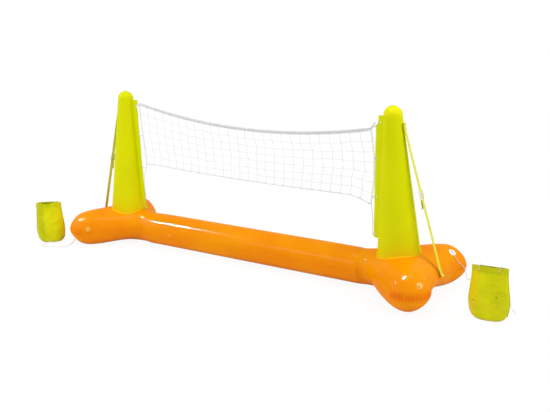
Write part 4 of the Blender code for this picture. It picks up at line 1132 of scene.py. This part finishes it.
def add_tape():
    """A band folded over the net's top line, stitched below its fold."""
    line, fullness = tape_line()
    half, deep = TAPE_HEIGHT / 2, TAPE_THICKNESS / 2
    face = [(-1, -0.16), (-1, -0.60), (-0.45, -0.82), (0.1, -1), (0.62, -0.86), (0.92, -0.45), (1, 0)]
    section = [*mirrored(face), (-0.80, 0.14), (-0.80, -0.14)]
    runs = sums(steps_of(line))
    verts = []
    for k, (place, run, full) in enumerate(zip(line, runs, fullness)):
        way = (line[min(k + 1, len(line) - 1)] - line[max(k - 1, 0)]).normalized()
        up = vec(-way.z, 0, way.x)
        pinch = 1 - 0.07 * (1 + sin(run * tau / 0.019)) - 0.05 * wander(run * 30, 0, 0)
        for z, y in section:
            depth = y * deep * (pinch if z < 0.5 else 1) * (0.4 + 0.6 * full)
            verts.append(place + up * z * half * full + vec(0, depth, 0))
    faces = grid_faces(len(line), len(section)) + caps(len(line), len(section))
    uvs = strip_uvs(runs, [z * half for z, _ in (*section, section[0])])
    worn(outward(piece("net_tape", verts, faces, TAPE_WHITE, uvs)), "float", "net_top_tape")
    stitches = []
    at = runs[9]
    while at < runs[-10]:
        for y in (-1, 1):
            spots = []
            for shift, lift in ((0.0, 0.0), (0.0012, 0.00035), (0.0024, 0.0)):
                x, z = (np.interp(at + shift, runs, [p[axis] for p in line]) for axis in (0, 2))
                spots.append((x, y * (deep * 0.80 + lift), z - half * 0.55))
            stitches.append(spots)
        at += TAPE_STITCH
    worn(rope("tape_stitches", stitches, 0.00028, CORD_WHITE, sides=5), "float")


def side_cord_path(side, count):
    clear = NET_CLEAR + 2 * TIE_RADIUS + 0.0006 + SIDE_CORD_RADIUS
    points = []
    for up in (1 - k / 8 for k in range(9)):
        points.append(vec(net_side(side, up) + side * clear, 0, net_point(max(side, 0), up).z))
    points.insert(0, points[0] + (points[0] - points[1]).normalized() * 0.016)
    hole_x, hole_z = tie_hole(TIE_HEIGHTS["bottom"])
    foot = vec(side * (hole_x - 0.016), 0, hole_z - 0.008)
    beside = points[-1].lerp(foot, 0.45)
    points += [vec(side * (fin_edge(beside.z) - 0.0075), 0, beside.z), foot]
    return smooth_path(points, count)


def cord_at(path, height):
    height = min(max(height, path[-1].z + 0.006), path[0].z - 0.006)
    for a, b in zip(path, path[1:]):
        if a.z >= height >= b.z:
            return a.lerp(b, (a.z - height) / (a.z - b.z)), (b - a).normalized()
    return path[-1], (path[-1] - path[-2]).normalized()


def tie_path(cord, run, hole):
    along = (hole - cord).normalized()
    across = vec(0, 1, 0)
    half = (SIDE_CORD_RADIUS + 0.0003 + TIE_RADIUS) * 1.1
    long = half / along.cross(run).length
    slip = 0.96 * TIE_HOLE_RADIUS - TIE_RADIUS - 0.0003
    bend = half * cos(radians(30))
    points = []
    for centre, reach, start in ((hole - along * (bend + slip), half, -90), (cord, long, 90)):
        for angle in (radians(start + 30 * k) for k in range(7)):
            points.append(centre + along * cos(angle) * reach + across * sin(angle) * half)
    return points


def add_lace(side, level, coarse):
    """The tie between the side cord and the fin at one level: its loop, its knot and its loose ends."""
    spot = f"{level}_{WORDS[side]}"
    hole_x, hole_z = tie_hole(TIE_HEIGHTS[level])
    held, run = cord_at(coarse, hole_z)
    hole = vec(side * hole_x, 0, hole_z)
    loop = rope(f"net_lace_{spot}", [tie_path(held, run, hole)], TIE_RADIUS, CORD_WHITE, closed=True, sides=6)
    worn(loop, "float", f"net_tie_{spot}")
    middle = held.lerp(hole, 0.45) + vec(0, -0.0034, 0)
    knot(f"net_lace_knot_{spot}", middle, TIE_RADIUS * 0.9, 0.0020, "float", turn=hole_z * 9)
    down = ((0, 0, 0), (side * 0.001, -0.0012, -0.004), (-side * 0.001, -0.001, -0.009))
    over = ((0, 0, 0), (-side * 0.003, -0.001, -0.003), (-side * 0.005, -0.001, -0.007))
    ends = [[middle + Vector(p) for p in path] for path in (down, over)]
    worn(rope(f"net_lace_ends_{spot}", ends, TIE_RADIUS * 0.8, CORD_WHITE, sides=6), "float")


def add_edge_cords():
    line = edge_line(0, -(NET_CLEAR + BOTTOM_CORD_RADIUS))
    bottom = rope("net_bottom_line", [line], BOTTOM_CORD_RADIUS, CORD_WHITE)
    worn(bottom, "float", "net_bottom_cord")
    for side, word in WORDS.items():
        cord = rope(f"net_side_line_{word}", [side_cord_path(side, 90)], SIDE_CORD_RADIUS, CORD_WHITE)
        worn(cord, "float", f"net_side_cord_{word}")
        for level in TIE_HEIGHTS:
            add_lace(side, level, side_cord_path(side, 18))


# Guy straps.
def strap_frame(side, place):
    up = vec(side * (STRAP_TOP.x - STRAP_LOW.x), 0, STRAP_TOP.z - STRAP_LOW.z).normalized()
    out = vec(side * up.z, 0, -side * up.x)
    return Matrix.Translation(place) @ Matrix((out, up.cross(out), up)).transposed().to_4x4()


def strap_line():
    """X and Z of the strap at its low lug: the doubled end, round the bar and out along the strap."""
    bar = 0.0036 / 2 + 0.0045
    thick = 0.0015 / 2
    return [
        (0.0017, 0.034), (0.0021, 0.014), (0.0046, 0.006), (bar + 0.0011, 0.0015), (bar + 0.0012, -0.0006),
        (bar - 0.0003, -thick - 0.0012), (bar - 0.0027, -thick - 0.0013), (0.0012, -thick - 0.0009),
        (0.0002, -0.0007), (0.0, 0.0015), (0.0, 0.010),
    ]


def stitch_box(frame_at, low, high, half, faces):
    """Stitches round a small rectangle and across it, on both faces of a doubled strap."""
    corners = [(-half, low), (half, low), (half, high), (-half, high), (-half, low)]
    lines = list(zip(corners, corners[1:])) + [((-half, low), (half, high)), ((half, low), (-half, high))]
    paths = []
    for (ya, za), (yb, zb) in lines:
        count = max(2, int(hypot(yb - ya, zb - za) / STRAP_STITCH))
        for k in range(count):
            a, b = (k + 0.15) / count, (k + 0.8) / count
            for face in faces:
                spots = [(face, ya + (yb - ya) * t, za + (zb - za) * t) for t in (a, (a + b) / 2, b)]
                paths.append([frame_at @ Vector(p) for p in spots])
    return paths


def upright(points, count):
    """A smooth path through places given by X and Z."""
    return smooth_path([(x, 0, z) for x, z in points], count)


def add_strap(side):
    word = WORDS[side]
    low, top = (vec(side * p.x, 0, p.z) for p in (STRAP_LOW, STRAP_TOP))
    length = (top - low).length
    frame_at = strap_frame(side, low)
    start = strap_line()
    end = [(x, length - z) for x, z in reversed(start)]
    run = [vec(0, 0, z) for z in np.linspace(start[-1][1], end[0][1], 60)[1:-1]]
    points = [frame_at @ p for p in (*upright(start, 44), *run, *upright(end, 44))]
    strap = band(f"strap_band_{word}", points, STRAP_WIDTH)
    worn(strap, "float", f"guy_strap_{word}")
    paths = []
    for a, b in ((0.014, 0.031), (length - 0.031, length - 0.014)):
        paths += stitch_box(frame_at, a, b, 0.0068, (-0.0006, 0.0024))
    worn(rope(f"strap_stitches_{word}", paths, 0.0003, WEBBING, sides=5), "float")
    at = strap_frame(side, low.lerp(top, BUCKLE_AT / length))
    add_tail(side, at)
    add_buckle(side, at)


def add_tail(side, at):
    """The strap's free end, hooked over the lowest bar of its buckle."""
    z = -0.86 * BUCKLE_HALF
    x = -BUCKLE_STEP
    clear = 0.0014 + 0.0003 + STRAP_THICKNESS / 2
    out = x - clear
    tail = [
        (x + 0.0001, z + clear + 0.0006), (x - clear * 0.75, z + clear * 0.85), (out - 0.0004, z),
        (out - 0.0012, z - 0.010), (out - 0.0035, z - 0.028), (out - 0.0050, z - 0.042),
        (out - 0.0085, z - 0.052),
    ]
    word = WORDS[side]
    end = band(f"strap_end_{word}", [at @ p for p in upright(tail, 40)], STRAP_WIDTH - 0.001)
    worn(end, f"slider_{word}", f"strap_tail_{word}")


def add_buckle(side, at):
    """A ladder lock of clear plastic: two rounded rails and stepped bars, with the strap between them."""
    word = WORDS[side]
    inner, outer, half, deep = STRAP_WIDTH / 2 + 0.0011, STRAP_WIDTH / 2 + 0.0056, 0.0225, 0.0044
    verts, faces = [], []
    for low, high in ((-outer, -inner), (inner, outer)):
        for corners in ((0, 1, 3, 2), (4, 6, 7, 5), (0, 4, 5, 1), (2, 3, 7, 6), (0, 2, 6, 4), (1, 5, 7, 3)):
            faces.append(tuple(len(verts) + k for k in corners))
        verts += [at @ vec(x, y, z) for x in (-deep, deep) for y in (low, high) for z in (-half, half)]
    rails = outward(piece(f"strap_lock_{word}", verts, faces, CLEAR))
    modified(rails, "BEVEL", width=0.0015, segments=3)
    settled(rails).data.shade_smooth()
    paths = []
    for step, along in ((-1, -0.86), (1, -0.43), (-1, 0.0), (1, 0.43), (-1, 0.86)):
        x, z = step * BUCKLE_STEP, along * BUCKLE_HALF
        paths.append([at @ vec(x, y, z) for y in (0.001 - outer, 0.0, outer - 0.001)])
    bars = rope(f"strap_lock_bars_{word}", paths, 0.0015, CLEAR, sides=12)
    worn(rails, f"slider_{word}", f"strap_buckle_{word}")
    worn(bars, f"slider_{word}")


# Bags.
def bag_profile(share):
    """Half width and half depth of the pouch at a share of its height."""
    path = smooth_path([
        (0.0, 0.79, 0.74), (0.10, 0.95, 0.93), (0.33, 1.045, 1.00), (0.56, 0.985, 0.84), (0.80, 0.915, 0.50),
        (1.0, 0.90, BAG_MOUTH_DEPTH / BAG_HALF_DEPTH),
    ], 60)
    heights = [p.x for p in path]
    width, depth = (np.interp(share, heights, [p[axis] for p in path]) for axis in (1, 2))
    return BAG_HALF_WIDTH * width, BAG_HALF_DEPTH * depth


def bag_tone(side, px, share):
    """How deep the olive is (the doubled hem, and painted shade down one side), how yellow (painted bounce
    light from the orange base) and how brown towards a lower corner the vinyl of a bag is at a place on it,
    each 0 to 1.
    """
    hem = clip01((share - 0.865) / 0.02) * 0.55
    if side > 0:
        # Right bag: painted shade on its right side, and painted bounce light on its left side.
        painted_shade = clip01((px - 0.006) / 0.012) * 0.22
        return max(hem, painted_shade), clip01((-px - 0.034) / 0.028) * 0.75 * (1 - hem), 0.0
    # Left bag: painted shade on a strip down its left side, painted bounce light on its right side, and brown
    # towards its lower right corner.
    painted_shade = clip01((-px - 0.026) / 0.010) * 0.50
    corner = clip01((px - 0.046) / 0.026) * clip01((0.17 - share) / 0.14)
    return max(hem * 0.3, painted_shade), clip01((px - 0.050) / 0.020) * 0.5, corner * 0.75


def ridged(place, scale):
    return 1 - abs(noise.noise(place * scale)) * 2


def bag_place(side, share, wide, deep, angle, standing):
    """A place on the pouch, in its own frame; standing on its side, otherwise under its foot."""
    c, s = cos(angle), sin(angle)
    px = wide * copysign(abs(c) ** (1.0 - 0.10 * share), c) * (1.0 if side > 0 else 0.93)
    py = deep * copysign(abs(s) ** (1.0 + 0.35 * share), s)
    place = vec(px, py, BAG_HEIGHT * share)
    seed = vec(3.1 * side, 1.7, 0.4 * side)
    loose = sin(pi * share) ** 0.7 if standing else 0.0
    hem = clip01((0.90 - share) / 0.10)
    facet = ridged(place + seed, 15.0) * 0.6 + ridged(place + seed * 2, 34.0) * 0.22
    fold = sin(px * 62 + side * 1.3 + 3 * share) * (0.35 + 0.65 * abs(s))
    amount = loose * hem * ((facet - 0.35) * 0.0066 + fold * 0.0013)
    amount += (1 - hem) * 0.0006 * sin(px * 150 + side)
    place += vec(c * 0.25, s, 0) * amount
    if standing and share < 0.10:
        place.z += 0.0012 * (1 + wander(px * 40, py * 40, side)) * (1 - share / 0.10)
    place.z += 0.0015 * share * wander(px * 22, s, side * 2.0)
    lip = clip01((share - 0.90) / 0.10) * abs(s)
    if side < 0:
        bow = exp(-((px + 0.012) / 0.034) ** 2)
        place.z += lip * (-0.0085 * bow if s < 0 else 0.0012)
        place.y -= lip * bow * (0.0060 if s < 0 else -0.0030)
    elif s > 0:
        place.z -= 0.0040 * lip
    return place


def add_bag(side):
    """A pouch of thin vinyl: welded sides, a doubled hem, a flat crumpled foot and loose creases."""
    word = WORDS[side]
    x, y, turn = BAGS[side]
    frame_at = Matrix.Translation((x, y, 0)) @ Matrix.Rotation(turn, 4, "Z")
    around = 144
    rows = [(0.0, shrink, False) for shrink in (0.3, 0.55, 0.75, 0.90)]
    for share in np.linspace(0, 1, 72):
        rows.append((share, 0.90 + 0.10 * sqrt(max(0.0, 1 - (1 - min(share / 0.05, 1)) ** 2)), True))
    verts = [frame_at @ vec(0, 0, 0.0012)]
    for share, shrink, standing in rows:
        wide, deep = (size * shrink for size in bag_profile(share))
        verts += [frame_at @ bag_place(side, share, wide, deep, angle, standing) for angle in turns(around)]
    faces = [(0, 1 + (k + 1) % around, 1 + k) for k in range(around)] + grid_faces(len(rows), around, True, 1)
    obj = piece(f"bag_pouch_{word}", verts, faces, BAG_LIME)
    modified(obj, "SOLIDIFY", thickness=BAG_WALL, offset=-1.0, use_rim=True)
    settled(obj)
    lowest = min(v.co.z for v in obj.data.vertices)
    obj.data.transform(Matrix.Translation((0, 0, -lowest)))
    surface = surface_of(obj)
    spin = frame_at.to_3x3()
    back = spin @ vec(0, 1, 0)
    spots = []
    tied = [(px, BAG_LOOP_Z, facing) for px in (-BAG_LOOP_X, BAG_LOOP_X) for facing in (-1, 1)]
    for px, pz, facing in tied + [(*drain, -1) for drain in BAG_DRAINS]:
        hit = surface.ray_cast(frame_at @ vec(px, facing * 0.12, pz), -facing * back)[0]
        spots.append((hit, BAG_HOLE_RADIUS))
    cut_holes(obj, spots, spin.to_4x4() @ ALONG_Y)
    obj.data.shade_smooth()
    home = frame_at.inverted()
    held = [home @ v.co for v in obj.data.vertices]
    # Tone shares: the hem with painted shade, painted bounce light, and a brown corner.
    set_field(obj, "tone", [bag_tone(side, p.x, p.z / BAG_HEIGHT) for p in held])
    worn(obj, f"anchor_{word}", f"anchor_bag_{word}")
    add_bag_details(side, frame_at, surface)


def add_bag_details(side, frame_at, surface):
    """Side welds, the hem's weld line and the loops of cord through the hem."""
    word = WORDS[side]
    body = f"anchor_{word}"
    turn = frame_at.to_3x3()
    section = mirrored([(-0.002, 0.0005), (0.0024, 0.0004), (0.0030, 0.0)])
    verts, faces = [], []
    for end in (-1, 1):
        faces += grid_faces(50, len(section), True, len(verts))
        for k, z in enumerate(np.linspace(0.020, BAG_HEIGHT - 0.002, 50)):
            hit = surface.ray_cast(frame_at @ vec(end * 0.2, 0, z), turn @ vec(-end, 0, 0))[0]
            place = hit + turn @ vec(end * 0.0008, 0, 0)
            wave = 0.0005 * sin(k * 0.55 + end)
            verts += [place + turn @ vec(end * px, py + wave, 0) for px, py in section]
    worn(outward(piece(f"bag_weld_{word}", verts, faces, BAG_LIME)), body)
    hem = []
    for z in (BAG_HEIGHT - 0.030, BAG_HEIGHT - 0.0275):
        path = []
        for angle in turns(96):
            way = turn @ vec(cos(angle) * 0.8, sin(angle) * 0.55, 0).normalized()
            hit, normal, _, _ = surface.ray_cast(frame_at @ vec(0, 0, z) + way * 0.2, -way)
            path.append(hit - normal * 0.00015)
        hem.append(path)
    worn(rope(f"bag_hem_{word}", hem, 0.00045, BAG_LIME, closed=True, sides=6), body)
    radius = 0.004
    corners = (
        (1, BAG_LOOP_Z + radius, -90), (1, BAG_LOOP_TOP - radius, 0),
        (-1, BAG_LOOP_TOP - radius, 90), (-1, BAG_LOOP_Z + radius, 180),
    )
    for x, end in ((-BAG_LOOP_X, "a"), (BAG_LOOP_X, "b")):
        points = []
        for face, z, start in corners:
            centre = vec(x, face * (0.0176 - radius), z)
            for angle in (radians(start + 22.5 * k) for k in range(5)):
                points.append(frame_at @ (centre + vec(0, cos(angle), sin(angle)) * radius))
        look = CORD_WHITE if side > 0 else CORD_LIME
        loop = rope(f"bag_lace_{word}_{end}", [points], 0.0011, look, closed=True)
        worn(loop, body, f"bag_loop_{word}_{end}")


# Cords.
def laid_cord(name, route, count, solid):
    """A limp cord laid loosely along its route."""
    path = smooth_path(route, count)
    made = rope(name, [path], TETHER_RADIUS, CORD_WHITE)
    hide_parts(solid)
    sum(steps_of(path))
    return made


def add_tethers():
    ends = {
        "right": (ROUTE_RIGHT, vec(1.165, 0, 0), vec(1.345, 0, 0)),
        "left": (ROUTE_LEFT, vec(0, 0.08, 0), vec(0, -0.30, 0)),
    }
    places = {
        "float_left": (-1.1163, 0.1822, 0.1815), "float_right": (1.1163, 0.1822, 0.1815),
        "bag_left": (-1.2701, -0.3304, 0.0132), "bag_right": (1.3697, -0.1092, 0.237),
        "tail_right": (1.4594, -0.1015, 0.237),
    }
    for spot, place in places.items():
        body = "float" if spot.startswith("float") else "anchor_" + spot.split("_")[1]
        made = knot(f"tether_bend_{spot}", place, TETHER_RADIUS * 0.8, 0.0030, body, turn=len(spot))
        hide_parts(f"tether_knot_{spot}")
    for word, (route, start, end) in ends.items():
        cord = laid_cord(f"tether_line_{word}", route, 240, f"tether_cord_{word}")
        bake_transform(cord)
    tail = laid_cord("tether_end_right", ROUTE_TAIL, 160, "tether_tail_right")
    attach(tail, "anchor_right")


# Pieces whose solids show, with their own plastics.
def dress_nodes():
    looks = {
        "strap_lug_base": ORANGE_PLAIN, "strap_lug_post": FIN_LIME, "anchor_patch": PATCH_WHITE,
        "valve_cup_base": VALVE_CLEAR, "valve_stopper_base": VALVE_CLEAR,
        "valve_cup_post": POST_VALVE_CLEAR, "valve_stopper_post": POST_VALVE_CLEAR,
    }
    for name, obj in NODES.items():
        for start, look in looks.items():
            if name.startswith(start):
                obj.data.materials.clear()
                obj.data.materials.append(look)


# Studio.
def seen_share(look):
    """1 for rays from the camera, by way of gloss and clear plastic too, otherwise 0."""
    rays = node(look, "ShaderNodeLightPath", {})
    camera, glossy, through = (
        Value(look, rays.outputs[f"Is {kind} Ray"]) for kind in ("Camera", "Glossy", "Transmission")
    )
    return camera.maths("MAXIMUM", glossy).maths("MAXIMUM", through)


def add_floor():
    look = new_look("floor", (0.92, 0.92, 0.92), 0.9, Specular_IOR_Level=0.0)
    matt = Value(look, look.node_tree.nodes["Principled BSDF"].outputs[0])
    glow = value_of(look, "ShaderNodeEmission", {"Color": (1, 1, 1, 1), "Strength": 1.0})
    away = value_of(look, "ShaderNodeVectorMath", {0: place_of(look)}, "Value", operation="LENGTH")
    share = seen_share(look) * away.ramp(1.4, 2.8, 0.92, 1.0)
    mix = value_of(look, "ShaderNodeMixShader", {0: share, 1: matt, 2: glow})
    look.node_tree.links.new(mix.socket, look.node_tree.nodes["Material Output"].inputs[0])
    corners = [(-14, -14, 0), (14, -14, 0), (14, 14, 0), (-14, 14, 0)]
    floor = piece("floor", corners, [(0, 1, 2, 3)], look)
    floor.location.z = -0.0004


def add_studio():
    bpy.context.scene.view_settings.view_transform = "Standard"
    add_floor()
    world = bpy.data.worlds.new("studio")
    world.use_nodes = True
    bpy.context.scene.world = world
    back = world.node_tree.nodes["Background"]
    back.inputs["Color"].default_value = (1, 1, 1, 1)
    strength = seen_share(world) * 0.38 + 0.62
    world.node_tree.links.new(strength.socket, back.inputs["Strength"])


def add_lamp(name, place, aim, size, power):
    data = bpy.data.lights.new(name, "AREA")
    data.shape = "RECTANGLE"
    data.size, data.size_y = size
    data.energy = power
    data.spread = pi
    lamp = linked(name, data)
    lamp.location = place
    lamp.rotation_euler = (Vector(aim) - Vector(place)).to_track_quat("-Z", "Y").to_euler()
    return lamp


def add_gloss(name, place, aim, size, power, spread):
    """A narrow lamp that is seen in the gloss and lights nothing."""
    lamp = add_lamp(name, place, aim, size, power)
    lamp.data.spread = radians(spread)
    lamp.visible_diffuse = False
    lamp.visible_camera = False


add_camera()
add_tethers()
base_surface = add_base()
for end in WORDS:
    add_post(end, base_surface)
    add_fin(end)
    add_strap(end)
    add_bag(end)
add_net()
add_tape()
add_edge_cords()
dress_nodes()
add_studio()
add_gloss("shine_tube", (-3.52, -1.59, 3.32), (-0.54, -0.06, 0.15), (0.50, 0.50), 11, 30)
add_gloss("shine_right", (0.652, -0.321, 1.46), (1.069, -0.27, 0.177), (0.36, 0.36), 5.0, 22)
add_gloss("shine_left", (-2.37, -1.21, 3.04), (-1.036, -0.273, 0.171), (0.60, 0.22), 4.0, 20)
add_lamp("sky", (0.3, -0.3, 4.4), (0.1, 0.0, 0.0), (3.4, 1.8), 79)
add_lamp("side", (-3.4, -1.5, 1.5), (0.0, 0.0, 0.4), (1.6, 1.6), 20)
add_lamp("front", (-2.2, -3.9, 2.6), (0.1, 0.0, 0.4), (1.6, 1.2), 32)
add_lamp("right", (3.7, 0.3, 2.6), (0.4, 0.0, 0.3), (1.8, 1.8), 50)
